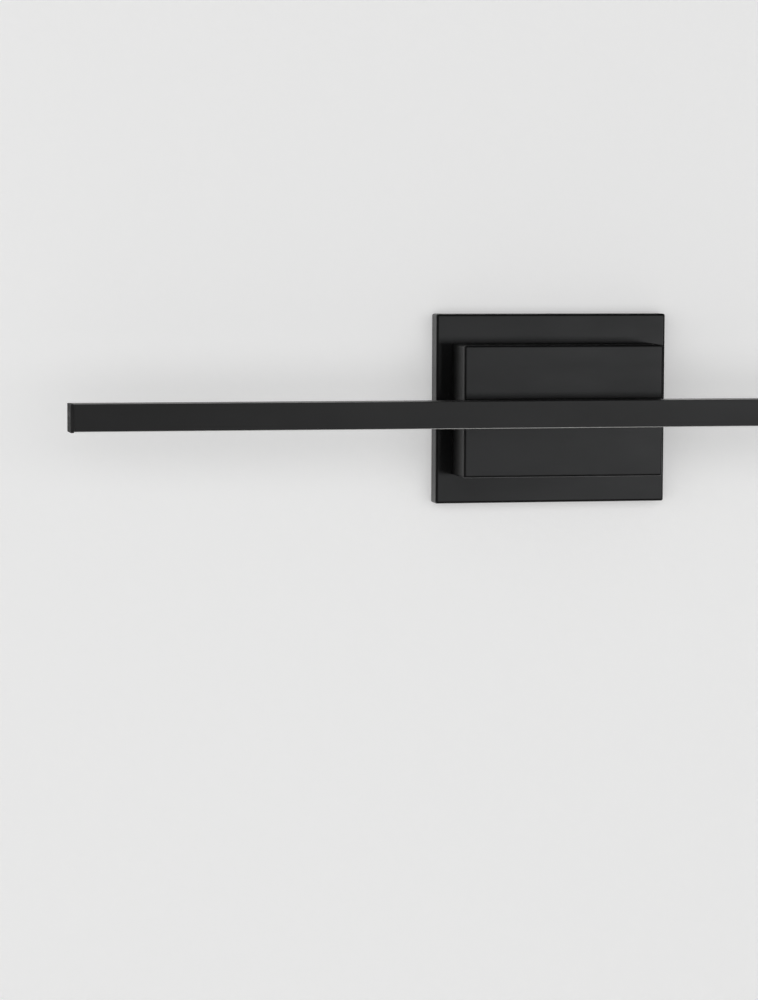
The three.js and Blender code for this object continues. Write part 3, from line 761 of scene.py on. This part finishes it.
housingShape = {
    "sheet": 1.2, "corner": 1.2, "edge": 1.4, "fold": 0.5, "lip": 0.15, "soft": 0.12,
    "flange": 9, "flangeGap": 8,  # the flanges' depth, and how far they stop from the ends
    "grommetRoom": 6.5, "leadHole": 2.8, "standoffHole": 1.75, "screwHole": 1.5,
}


def driverHousing():
    low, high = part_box("driver_housing")
    housing = foldedTray("driverHousing", low, high, housingShape)
    sheet = housingShape["sheet"] * mm
    flangeEnd = high.x - sheet - housingShape["flangeGap"] * mm

    def flanges(bm):
        for up, edge in ((-1, low.z), (1, high.z)):
            inner = edge - up * (sheet + housingShape["flange"] * mm)
            addBlock(bm, (-flangeEnd, high.y - sheet, edge - up * sheet / 2), (flangeEnd, high.y, inner))

    def holes(bm):
        drill(bm, "plate_grommet", high.y, housingShape["grommetRoom"] * mm, 4 * sheet, 48)
        drill(bm, "lead_bushing", low.y, housingShape["leadHole"] * mm, 4 * sheet)
        for side in ("left", "right"):
            drill(bm, "standoff_screw_" + side, low.y, housingShape["standoffHole"] * mm, 4 * sheet)
            for end in ("bottom", "top"):
                drill(bm, f"housing_screw_{end}_{side}", high.y, housingShape["screwHole"] * mm, 4 * sheet)

    carve(housing, flanges, "UNION")
    carve(housing, holes)
    soften(housing, housingShape["soft"] * mm)
    evenShade(housing)
    return fit(housing, "driver_housing")


driverHousing()
print("driver housing ready")


barShape = {
    "wall": 1.3, "edge": 0.4, "chamber": 6.2, "web": 1.2, "rib": 1.6, "ribRise": 0.9, "ribBore": 0.95,
    "lipReach": 0.45, "lipHeight": 0.5, "ledgeReach": 1.0, "ledgeHeight": 1.0, "ledgeAbove": 2.65,
    "leadHole": 2.8, "screwHole": 1.75, "webHole": 3.3, "webHoleDeep": 5.2,
}


def barSizes():
    low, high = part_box("bar_body")
    sizes = {k: v * mm for k, v in barShape.items()}
    sizes.update(low=low, high=high, mid=(low.y + high.y) / 2, half=(high.y - low.y) / 2)
    sizes["inner"] = sizes["half"] - sizes["wall"]
    sizes["chamberTop"] = high.z - sizes["wall"]
    sizes["chamberLow"] = sizes["chamberTop"] - sizes["chamber"]
    sizes["webLow"] = sizes["chamberLow"] - sizes["web"]
    sizes["ledgeLow"] = low.z + sizes["ledgeAbove"]
    sizes["ribAt"] = sizes["chamberLow"] + sizes["ribRise"]
    return sizes


bar = barSizes()


def bothSides(half):
    # an outline that is the same on both sides of the bar's middle, listed down one side
    onAxis = 1e-7
    other = [(-y, z) for y, z in reversed(half) if y > onAxis]
    return [(bar["mid"] + y, z) for y, z in half + other]


def barBody():
    low, high, half, inner = bar["low"], bar["high"], bar["half"], bar["inner"]
    edge, lipIn = bar["edge"], bar["inner"] - bar["lipReach"]
    tip = 0.12 * mm
    outline = [(0, high.z)] + arc(half - edge, high.z - edge, edge, 90, 0, 5)
    outline += arc(half - tip, low.z + tip, tip, 0, -90, 2) + arc(lipIn + tip, low.z + tip, tip, 270, 180, 2)
    outline += [
        (lipIn, low.z + bar["lipHeight"]), (inner, low.z + bar["lipHeight"]), (inner, bar["ledgeLow"]),
        (inner - bar["ledgeReach"], bar["ledgeLow"]),
        (inner - bar["ledgeReach"], bar["ledgeLow"] + bar["ledgeHeight"]),
        (inner, bar["ledgeLow"] + bar["ledgeHeight"]), (inner, bar["webLow"]), (0, bar["webLow"]),
    ]
    # the chamber's floor carries the round rib that the end screws bite into
    rib, rise = bar["rib"], bar["ribRise"]
    reach = math.sqrt(rib * rib - rise * rise)
    start = math.degrees(math.asin(-rise / rib))
    fold = 0.3 * mm
    chamber = arc(0, bar["ribAt"], rib, 90, start, 8) + [(inner - fold, bar["chamberLow"])]
    chamber += arc(inner - fold, bar["chamberLow"] + fold, fold, -90, 0, 2)[1:]
    chamber += arc(inner - fold, bar["chamberTop"] - fold, fold, 0, 90, 2) + [(0, bar["chamberTop"])]
    bore = [(bar["mid"] + y, z) for y, z in arc(0, bar["ribAt"], bar["ribBore"], 0, 345, 23)]
    body = alongBar("barBody", bothSides(outline), low.x, high.x)

    def hollows(bm):
        for hollow in (bothSides(chamber), bore):
            addAlong(bm, hollow, low.x - mm, high.x + mm)

    def holes(bm):
        drill(bm, "lead_bushing", high.y, bar["leadHole"], 4 * bar["wall"])
        addRod(bm, "z", (0, bar["mid"], bar["chamberLow"]), bar["webHole"], bar["webHoleDeep"])
        for side in ("left", "right"):
            drill(bm, "standoff_screw_" + side, high.y, bar["screwHole"], 4 * bar["wall"])

    carve(body, hollows)
    carve(body, holes)
    evenShade(body)
    return fit(body, "bar_body", look="coatedBar")


lensShape = {"lip": 0.45, "edge": 0.25, "leg": 1.5, "skin": 1.6, "step": 1.05, "fillet": 0.3}


def barLens():
    low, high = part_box("lens")
    half = (high.y - low.y) / 2
    lip, edge, leg, skin, fillet = (lensShape[k] * mm for k in ("lip", "edge", "leg", "skin", "fillet"))
    neck = half - lip
    step = low.z + lensShape["step"] * mm  # the shoulder that rests on the bar's lips
    outline = [(0, low.z)] + arc(neck - edge, low.z + edge, edge, -90, 0, 4)
    outline += [(neck, step), (half, step), (half, high.z), (half - leg, high.z)]
    outline += [(half - leg, low.z + skin + fillet), (half - leg - fillet, low.z + skin), (0, low.z + skin)]
    lens = alongBar("barLens", bothSides(outline), low.x, high.x)
    evenShade(lens)
    return fit(lens, "lens")


capShape = {
    "thickness": 2.0, "corner": 0.45, "soft": 0.25, "loose": 0.3, "flat": 0.3, "nick": 0.04, "tightest": 0.12,
    "hole": 1.2, "sinkRim": 2.15, "sinkDeep": 1.22, "sinkAt": 0.6,
}


def endCap(side, name):
    low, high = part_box(name)
    outer = high.x if side > 0 else low.x
    sizes = {k: v * mm for k, v in capShape.items()}
    thick, corner, soft, loose = (sizes[k] for k in ("thickness", "corner", "soft", "loose"))
    halfY, halfZ = (high.y - low.y) / 2, (high.z - low.z) / 2
    midY, midZ = (high.y + low.y) / 2, (high.z + low.z) / 2
    section = [(soft + sizes["flat"], 0)]
    section += [(soft - soft * math.sin(t), soft - soft * math.cos(t)) for t in quarterTurn(4)]
    section += [(0, thick - sizes["nick"]), (sizes["nick"], thick)]
    rings = []
    for inset, back in section:
        outline = roundedOutline(halfY - inset, halfZ - inset, max(corner - inset, sizes["tightest"]), 4)
        rings.append([(outer - side * back, midY + y, midZ + z) for y, z in outline])
    bm = bmesh.new()
    loft(bm, rings)
    cap = objectFrom("endCap" + ("Right" if side > 0 else "Left"), bm)
    reach = bar["inner"] - loose
    tongueEnd = low.x if side > 0 else high.x
    head = midOf(name.replace("cap", "cap_screw"))

    def tongues(bm):
        root = outer - side * thick * 0.75
        for top, bottom in (
            (bar["chamberTop"] - loose, bar["ribAt"] + bar["rib"] + loose),
            (bar["webLow"] - loose, bar["ledgeLow"] + bar["ledgeHeight"] + loose),
        ):
            addBlock(bm, (root, bar["mid"] - reach, top), (tongueEnd, bar["mid"] + reach, bottom))

    def sink(bm):
        addRod(bm, "x", (outer, head.y, head.z), sizes["hole"], 4 * thick)

    def flare(bm):
        turn = Matrix.Rotation(side * math.pi / 2, 4, "Y")
        centre = (outer - side * sizes["sinkAt"], head.y, head.z)
        bmesh.ops.create_cone(
            bm, cap_ends=True, segments=32, radius1=sizes["hole"], radius2=sizes["sinkRim"],
            depth=sizes["sinkDeep"], matrix=Matrix.Translation(centre) @ turn,
        )

    carve(cap, tongues, "UNION")
    carve(cap, sink)
    carve(cap, flare)
    evenShade(cap)
    return fit(cap, name, look="mouldedCap")


barBody()
barLens()
endCap(-1, "end_cap_left")
endCap(1, "end_cap_right")
print("bar ready")


standoffShape = {"corner": 1.0, "soft": 0.3, "leadHole": 2.8, "screwHole": 1.75}


def standoffBlock():
    low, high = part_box("standoff")
    corner, soft = standoffShape["corner"] * mm, standoffShape["soft"] * mm
    bend = soft * 0.3
    section = [(soft, low.y), (bend, low.y + bend), (0, low.y + soft)]
    section += [(0, high.y - soft), (bend, high.y - bend), (soft, high.y)]
    rings = []
    for inset, y in section:
        outline = roundedOutline(high.x - inset, (high.z - low.z) / 2 - inset, corner, 6)
        rings.append([(x, y, (high.z + low.z) / 2 + z) for x, z in outline])
    bm = bmesh.new()
    loft(bm, rings)
    block = objectFrom("standoffBlock", bm)

    def holes(bm):
        middle, through = (low.y + high.y) / 2, 40 * mm
        drill(bm, "lead_bushing", middle, standoffShape["leadHole"] * mm, through)
        for side in ("left", "right"):
            drill(bm, "standoff_screw_" + side, middle, standoffShape["screwHole"] * mm, through)

    carve(block, holes)
    evenShade(block)
    return fit(block, "standoff")


standoffBlock()
print("standoff ready")


# the slots are for the box screws, and the notches free the ears' folds
strapShape = {
    "sheet": 1.6, "bend": 1.9, "inner": 0.3, "ear": 12, "notch": 1.0, "notchDeep": 3.2,
    "slotHalf": 2.6, "slotRun": 5.4, "soft": 0.15, "screwHole": 2.0,
}


def mountingStrap():
    low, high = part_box("mounting_bracket")
    sheet, bend, inner = (strapShape[k] * mm for k in ("sheet", "bend", "inner"))
    # the folded strip seen from its side, from the wall round both ears
    upper = [(0, 0)] + [(-bend + y, high.z - bend + z) for y, z in arc(0, 0, bend, 0, 90, 6)]
    upper += [(low.y, high.z), (low.y, high.z - sheet), (-sheet - inner, high.z - sheet)]
    upper += [(-sheet - inner + y, high.z - sheet - inner + z) for y, z in arc(0, 0, inner, 90, 0, 3)][1:]
    upper += [(-sheet, 0)]
    lower = [(y, -z) for y, z in reversed(upper[1:-1])]
    strap = alongBar("mountingStrap", upper + lower, low.x, high.x)
    ear, notch, deep, hole = (strapShape[k] * mm for k in ("ear", "notch", "notchDeep", "screwHole"))

    def openings(bm):
        for up in (-1, 1):
            past, shoulder = up * (high.z + mm), up * (high.z - 4 * sheet)
            for side in (-1, 1):
                addBlock(bm, (side * ear, -sheet - 0.02 * mm, shoulder), (side * 2 * ear, 2 * low.y, past))
                addBlock(bm, (side * ear, mm, up * (high.z - deep)), (side * (ear + notch), 2 * low.y, past))
            addRod(bm, "z", (0, midOf("plate_set_screw_top").y, up * high.z), hole, 4 * sheet)
            middle = midOf("box_screw_top").z * up
            slot, run = strapShape["slotHalf"] * mm, strapShape["slotRun"] * mm
            for end in (-1, 1):
                addRod(bm, "y", (0, 0, middle + end * run), slot, 6 * sheet)
            addBlock(bm, (-slot, mm, middle - run), (slot, -3 * sheet, middle + run))
        drill(bm, "ground_screw", 0, hole, 6 * sheet)

    carve(strap, openings)
    soften(strap, strapShape["soft"] * mm)
    evenShade(strap)
    return fit(strap, "mounting_bracket")


mountingStrap()
print("mounting strap ready")

# thread is its radius and cut how deep the thread goes; a sunk head tapers down to the thread
# cross and blade are half the length and half the width of the slots in a cross head
screwKinds = {
    "box": {"thread": 1.9, "pitch": 0.8, "cut": 0.3, "head": 2.6, "cross": 2.3, "blade": 0.42},
    "sheet": {"thread": 1.4, "pitch": 0.9, "cut": 0.28, "head": 1.9, "cross": 1.6, "blade": 0.32},
    "cap": {"thread": 0.85, "pitch": 0.45, "cut": 0.14, "head": 1.1, "sunk": True, "cross": 1.0, "blade": 0.2},
    "set": {"thread": 1.9, "pitch": 0.8, "cut": 0.25, "head": 0, "hex": 1.0, "deep": 2.0},
}
screwSides = 20
ringsPerTurn = 4


def threadRings(facts, length):
    # a ridge that winds round the core and fades out at both ends
    thread, pitch, cut = (facts[k] * mm for k in ("thread", "pitch", "cut"))
    core = thread - cut
    point = 0.35  # radius of the flat tip, as a share of the core's
    rings = [[(point * core * math.cos(t), point * core * math.sin(t), -length) for t in turnsOf(screwSides)]]
    start, end = -length + 0.7 * thread, -0.3 * pitch
    rows = max(2 * ringsPerTurn, round((end - start) / pitch * ringsPerTurn))
    for row in range(rows + 1):
        z = start + (end - start) * row / rows
        fade = min(1, row / 4, (rows - row) / 3)
        ring = []
        for i, t in enumerate(turnsOf(screwSides)):
            wave = 1 - abs(2 * ((z / pitch - i / screwSides) % 1) - 1)
            radius = core + cut * wave * fade
            ring.append((radius * math.cos(t), radius * math.sin(t), z))
        rings.append(ring)
    return rings


def headRings(facts, reach):
    height, thread = facts["head"] * mm, facts["thread"] * mm
    if facts.get("sunk"):
        nick = 0.06 * mm
        outline = [(thread, 0), (reach - 0.1 * mm, height - 0.15 * mm)]
        outline += [(reach, height - nick), (reach - nick, height)]
    elif height:
        soft, rim, rise, crown = 0.12 * mm, 0.55 * height, 0.45 * height, 0.3 * height
        outline = [(thread, 0), (reach - soft, 0), (reach, soft)]
        outline += [(reach - crown + crown * math.cos(t), rim + rise * math.sin(t)) for t in quarterTurn(5)]
    else:
        outline = [(thread - 0.25 * mm, 0)]
    outline.append((0.5 * outline[-1][0], outline[-1][1]))
    return [[(r * math.cos(t), r * math.sin(t), z) for t in turnsOf(screwSides)] for r, z in outline]


def screw(name, node, kind, facing):
    low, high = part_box(node)
    size, facing, facts = high - low, Vector(facing), screwKinds[kind]
    height = facts["head"] * mm
    length = abs(size.dot(facing)) - height
    reach = max(abs(size[i]) for i in range(3) if abs(facing[i]) < 0.5) / 2
    bm = bmesh.new()
    loft(bm, threadRings(facts, length) + headRings(facts, reach))
    made = objectFrom(name, bm)

    def recess(bm):
        if "hex" in facts:
            addRod(bm, "z", (0, 0, 0), facts["hex"] * mm, 2 * facts["deep"] * mm, 6)
            return
        long, blade, deep = facts["cross"] * mm, facts["blade"] * mm, 0.62 * height
        atFloor, atMouth = 0.35, 1.1  # the slots narrow towards their floor
        for x, y in ((long, blade), (blade, long)):
            for vert in addBlock(bm, (-x, -y, height - deep), (x, y, height + deep)):
                share = atFloor if vert.co.z < height else atMouth
                vert.co.x, vert.co.y = vert.co.x * share, vert.co.y * share

    carve(made, recess)
    seat = (low + high) / 2 + facing * (abs(size.dot(facing)) / 2 - height)
    turn = Vector((0, 0, 1)).rotation_difference(facing).to_matrix().to_4x4()
    made.data.transform(Matrix.Translation(seat) @ turn)
    evenShade(made, 32)
    return fit(made, node)


toRoom, toWall = (0, -1, 0), (0, 1, 0)
for end, up in (("bottom", -1), ("top", 1)):
    screw("boxScrew" + end.title(), "box_screw_" + end, "box", toRoom)
    screw("setScrew" + end.title(), "plate_set_screw_" + end, "set", (0, 0, up))
    for side in ("left", "right"):
        screw("housingScrew" + end.title() + side.title(), f"housing_screw_{end}_{side}", "sheet", toWall)
for side, along in (("left", -1), ("right", 1)):
    screw("driverScrew" + side.title(), "driver_screw_" + side, "sheet", toRoom)
    screw("standoffScrew" + side.title(), "standoff_screw_" + side, "sheet", toWall)
    screw("capScrew" + side.title(), "end_cap_screw_" + side, "cap", (along, 0, 0))
screw("groundScrew", "ground_screw", "box", toRoom)
print("screws ready")

nutShape = {"tap": 1.5, "soft": 0.25}


def squareNut(side):
    low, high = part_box("square_nut_" + side)
    bm = bmesh.new()
    addBlock(bm, low, high)
    nut = objectFrom("squareNut" + side.title(), bm)
    carve(nut, lambda bm: addRod(bm, "y", (low + high) / 2, nutShape["tap"] * mm, 8 * mm, 24))
    soften(nut, nutShape["soft"] * mm)
    evenShade(nut)
    return fit(nut, "square_nut_" + side)


def ringPiece(name, node, outline):
    # outline is [radius, place along Y] in metres, turned round the node's own middle
    middle = midOf(node)
    ring = turned(name, outline, "y", (middle.x, 0, middle.z), 48, True)
    evenShade(ring, 50)
    return fit(ring, node)


grommetShape = {"bore": 3.2, "waist": 4.6, "rim": 6.2, "lip": 1.2, "round": 0.45}
bushingShape = {"bore": 2.0, "outer": 2.5, "rim": 3.6, "lip": 1.0, "round": 0.25, "chamfer": 0.1}


def plateGrommet():
    low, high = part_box("plate_grommet")
    bore, waist, rim, lip, edge = (grommetShape[k] * mm for k in ("bore", "waist", "rim", "lip", "round"))
    outline = []
    for end, way in ((low.y, 1), (high.y, -1)):
        half = [(bore, end + way * edge), (bore + 0.3 * edge, end + way * 0.3 * edge), (bore + edge, end)]
        half += [(rim - edge, end), (rim - 0.3 * edge, end + way * 0.3 * edge), (rim, end + way * edge)]
        nick = 0.15 * mm
        half += [(rim, end + way * (lip - nick)), (rim - nick, end + way * lip), (waist, end + way * lip)]
        outline += half if way > 0 else half[::-1]
    return ringPiece("plateGrommet", "plate_grommet", outline)


def leadBushing():
    low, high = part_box("lead_bushing")
    sizes = {k: v * mm for k, v in bushingShape.items()}
    bore, outer, rim, edge, chamfer = (sizes[k] for k in ("bore", "outer", "rim", "round", "chamfer"))
    inside = high.y - sizes["lip"]
    outline = [(bore, low.y + chamfer), (bore + chamfer, low.y)]
    outline += [(outer - chamfer, low.y), (outer, low.y + chamfer)]
    outline += [(outer, inside), (rim - chamfer, inside), (rim, inside + chamfer), (rim, high.y - edge)]
    outline += [(rim - 0.3 * edge, high.y - 0.3 * edge), (rim - edge, high.y), (bore + edge, high.y)]
    outline += [(bore + 0.3 * edge, high.y - 0.3 * edge), (bore, high.y - edge)]
    return ringPiece("leadBushing", "lead_bushing", outline)


terminalShape = {
    "eye": 4.8, "hole": 2.25, "sheet": 0.8, "barrel": 1.6, "crimp": 0.22, "neck": 2.4, "soft": 0.12,
    "barrelGap": 4.0,  # from the screw's middle to the barrel's end
}


def ringTerminal():
    low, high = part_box("earth_terminal")
    eye, hole, sheet, barrel, crimp, neck = (
        terminalShape[k] * mm for k in ("eye", "hole", "sheet", "barrel", "crimp", "neck"))
    screwAt = midOf("ground_screw")
    centre = (0, high.y - barrel, screwAt.z)
    start, end = low.x, screwAt.x - terminalShape["barrelGap"] * mm
    run = end - start
    # a closed barrel with two squeezed bands, each ring placed by its share of the barrel's length
    plain, squeezed = (0.1, 0.2, 0.43, 0.57, 0.8, 0.92), (0.27, 0.36, 0.64, 0.73)
    outline = [(barrel - 0.2 * mm, start)]
    for share in sorted(plain + squeezed):
        outline.append((barrel - crimp if share in squeezed else barrel, start + share * run))
    outline.append((0.7 * barrel, end + 0.3 * mm))
    terminal = turned("ringTerminal", outline, "x", centre, 24)

    def eyePlate(bm):
        addRod(bm, "y", (screwAt.x, high.y - sheet / 2, screwAt.z), eye, sheet, 48)
        root, half = start + 0.7 * run, neck / 2
        addBlock(bm, (root, high.y - sheet, screwAt.z - half), (screwAt.x, high.y, screwAt.z + half))

    carve(terminal, eyePlate, "UNION")
    carve(terminal, lambda bm: drill(bm, "ground_screw", high.y, hole, 8 * mm))
    soften(terminal, terminalShape["soft"] * mm)
    evenShade(terminal)
    return fit(terminal, "earth_terminal")


squareNut("left")
squareNut("right")
plateGrommet()
leadBushing()
ringTerminal()
print("small fittings ready")

# a twist-on connector: a skirt, a fluted body that narrows, and a rounded tip
connectorShape = {"skirt": 3.0, "bore": 2.6, "boreDeep": 13, "fins": 12, "fin": 0.35, "tip": 3.0, "steps": 96}


def wireConnector(name):
    low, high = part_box(name + "_connector")
    middle = (low + high) / 2
    mouth, length = (high.x - low.x) / 2, high.z - low.z
    skirt, bore, deep, fin, tip = (connectorShape[k] * mm for k in ("skirt", "bore", "boreDeep", "fin", "tip"))
    body = mouth - 0.3 * mm
    shoulder, top = skirt + 1.2 * mm, 2.4 * mm  # where the fins are full, and the height of the round tip
    run = length - skirt - 3.6 * mm
    # [radius, height over the mouth, how much of the fins shows]
    outline = [(0.4 * bore, deep + 0.6 * mm, 0), (bore, deep, 0), (bore, 0.5 * mm, 0), (bore + 0.4 * mm, 0, 0)]
    outline += [(mouth - 0.35 * mm, 0, 0), (mouth, 0.35 * mm, 0)]
    outline += [(mouth, skirt - 0.3 * mm, 0), (mouth - 0.25 * mm, skirt, 0)]
    outline += [(body, skirt + 0.4 * mm, 0.2), (body, shoulder, 1)]
    for part in (0.2, 0.4, 0.6, 0.8, 1.0):
        outline.append((body + (tip + 0.2 * mm - body) * part, shoulder + run * part, 1))
    for i, t in enumerate(quarterTurn(5)[1:], 1):
        outline.append((tip * (0.35 + 0.65 * math.cos(t)), length - top + top * math.sin(t), 1 - i / 5))
    rings = []
    for radius, up, share in outline:
        ring = []
        for t in turnsOf(connectorShape["steps"]):
            wave = 0.5 - 0.5 * math.cos(connectorShape["fins"] * t)
            reach = radius - fin * share * wave ** 2
            ring.append((middle.x + reach * math.cos(t), middle.y + reach * math.sin(t), low.z + up))
        rings.append(ring)
    bm = bmesh.new()
    loft(bm, rings)
    made = objectFrom(name + "Connector", bm)
    evenShade(made, 48)
    return fit(made, name + "_connector")


for name in ("live", "neutral", "earth"):
    wireConnector(name)
print("connectors ready")

# radii of the two kinds of lead, their facets, and how far two supply leads run from each other's middle
leadShape = {"supply": 1.1, "output": 0.75, "sides": 14, "perGap": 9, "apart": 1.43, "boardDrop": 1.45}


def easedRoute(points, steps):
    # a smooth line through the points, each gap timed by the square root of its length
    points = [Vector(p) * mm for p in points]
    points = [2 * points[0] - points[1], *points, 2 * points[-1] - points[-2]]
    route = []
    for before, start, end, after in zip(points, points[1:], points[2:], points[3:]):
        a, b, c = ((q - p).length ** 0.5 for p, q in ((before, start), (start, end), (end, after)))
        leave = ((start - before) / a - (end - before) / (a + b) + (end - start) / b) * b
        arrive = ((end - start) / b - (after - start) / (b + c) + (after - end) / c) * b
        for i in range(steps):
            t = i / steps
            cubed = (2 * start - 2 * end + leave + arrive) * t ** 3
            squared = (3 * end - 3 * start - 2 * leave - arrive) * t ** 2
            route.append(start + leave * t + (cubed + squared))
    return route + [points[-2]]


def lead(name, node, points, radius):
    route = easedRoute(points, leadShape["perGap"])
    ahead, behind = route[1:] + route[-1:], route[:1] + route[:-1]
    tangents = [(after - before).normalized() for after, before in zip(ahead, behind)]
    normal = tangents[0].orthogonal().normalized()
    turns = turnsOf(leadShape["sides"])
    rings = []
    for i, (at, tangent) in enumerate(zip(route, tangents)):
        if i:
            normal = tangents[i - 1].rotation_difference(tangent) @ normal
        other = tangent.cross(normal)
        rings.append([at + radius * (math.cos(t) * normal + math.sin(t) * other) for t in turns])
    # both cut ends are slightly rounded
    ends = ((route[0], rings[0]), (route[-1], rings[-1]))
    first, last = ([at + (p - at) * 0.8 for p in ring] for at, ring in ends)
    rings = [first, *rings, last]
    step = 0.15 * mm
    rings[1] = [p + tangents[0] * step for p in rings[1]]
    rings[-2] = [p - tangents[-1] * step for p in rings[-2]]
    bm = bmesh.new()
    loft(bm, rings)
    made = objectFrom(name, bm)
    evenShade(made, 60)
    return fit(made, node)


def leadPlaces():
    # where the leads pass, in millimetres
    sheet = plateShape["sheet"]
    case, lid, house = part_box("driver_case"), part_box("driver_lid"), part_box("driver_housing")
    grommet, boards = midOf("plate_grommet") / mm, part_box("led_board_right")
    inside = house[0].y / mm + sheet
    lidFront = lid[0].y / mm
    return {
        "driverEnd": lid[1].x / mm,
        "driverRear": case[1].y / mm,
        "exit": case[0].y / mm + 2,
        "plateInside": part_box("back_plate")[0].y / mm + sheet,
        "inside": inside,
        "run": (lidFront + inside) / 2,
        "grommet": grommet,
        "ground": midOf("ground_screw") / mm,
        "bushing": midOf("lead_bushing") / mm,
        "cup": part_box("live_connector")[0].z / mm,
        "cupDeep": connectorShape["boreDeep"] - 2,
        "barRear": bar["high"].y / mm,
        "barWall": barShape["wall"],
        "barMid": bar["mid"] / mm,
        "chamberLow": bar["chamberLow"] / mm,
        "webLow": bar["webLow"] / mm,
        "boardInner": boards[0].x / mm,
        "boardLow": bar["webLow"] / mm - leadShape["boardDrop"],
        "barrel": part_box("earth_terminal"),
    }


places = leadPlaces()


def supplyRoute(connector, side):
    # out of the driver's left end, down and through the grommet, and up into a connector
    apart, end = leadShape["apart"], midOf(connector) / mm
    left, leave, cup, hole = -places["driverEnd"], places["exit"], places["cup"], places["grommet"]
    low, turn, bore = hole.z - side * apart, left - 6.5 - side * 1.5, hole.x - side * apart
    return [
        (left + 6, leave, side * apart),
        (left - 2, leave, side * apart),
        (turn, leave + 1, side * apart - 5),
        (turn + 1, leave + 3, low + 9),
        (turn + 8, leave + 5, low),
        (bore - 5, places["driverRear"] - 7, low),
        (bore, places["driverRear"] - 3, hole.z),
        (bore, places["plateInside"] + 2, hole.z),
        (bore - 2, end.y, hole.z + 5),
        ((bore + end.x) / 2, end.y, (hole.z + cup) / 2),
        (end.x, end.y, cup - 3),
        (end.x, end.y, cup + places["cupDeep"]),
    ]


def earthRoute():
    end, start = midOf("earth_connector") / mm, places["barrel"][0].x / mm
    height = places["barrel"][1].y / mm - terminalShape["barrel"]
    ground, cup = places["ground"].z, places["cup"]
    return [
        (start - 0.3, height, ground),
        (start - 3, height, ground),
        ((start + end.x) / 2 - 2, (height + end.y) / 2, ground / 2),
        (end.x, end.y, cup - 6),
        (end.x, end.y, cup + places["cupDeep"]),
    ]


def outputRoute(side):
    # out of the driver's right end, between its lid and the housing, and down through the bushing to a board
    size, end, up = 2 * leadShape["output"], places["driverEnd"], places["bushing"].z
    leave, run, inside, rear, mid = (places[k] for k in ("exit", "run", "inside", "barRear", "barMid"))
    bore, runZ = side * size * 0.6, up - 2.8 - size * (1.7 - 0.7 * side)
    under = places["boardLow"] - size / 2 - 0.2
    return [
        (end - 6, leave, side * 1.2),
        (end + 2, leave, side * 1.2),
        (end + 6, (leave + run) / 2, runZ),
        (end - 1, run, runZ),
        (20, run, runZ),
        (bore + 4, run, runZ),
        (bore + 0.4, run, up - 3),
        (bore, (run + inside) / 2, up),
        (bore, inside - 1.5, up),
        (bore, (inside + rear) / 2, up),
        (bore, rear, up),
        (bore * 1.3, (rear - places["barWall"] + mid) / 2, up - 0.2),
        (side * 1.9, mid, places["chamberLow"] + 0.5),
        (side * 2.2, mid, places["webLow"] - 0.6),
        (side * (places["boardInner"] - 0.5), mid, under - 0.4),
        (side * (places["boardInner"] + 5), mid, under),
    ]


def jumperRoute():
    size, inner = 2 * leadShape["output"], places["boardInner"]
    y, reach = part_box("led_board_right")[1].y / mm - size, inner + 4
    under = places["boardLow"] - size / 2 - 0.2
    near, middle = under - 0.2, under - 0.6
    return [(-reach, y, under), (-inner, y, near), (0, y, middle), (inner, y, near), (reach, y, under)]


lead("liveLead", "live_lead", supplyRoute("live_connector", 1), leadShape["supply"] * mm)
lead("neutralLead", "neutral_lead", supplyRoute("neutral_connector", -1), leadShape["supply"] * mm)
lead("earthLead", "earth_lead", earthRoute(), leadShape["supply"] * mm)
lead("positiveLead", "positive_lead", outputRoute(1), leadShape["output"] * mm)
lead("negativeLead", "negative_lead", outputRoute(-1), leadShape["output"] * mm)
lead("boardJumper", "board_jumper", jumperRoute(), leadShape["output"] * mm)
print("leads ready")


# the frame nodes that keep their shape
for name, node in frame["nodes"].items():
    if not node.hide_render:
        node.data.materials.clear()
        node.data.materials.append(finishOf(nodeSlot[name]))
print("finishes on the nodes that stay")
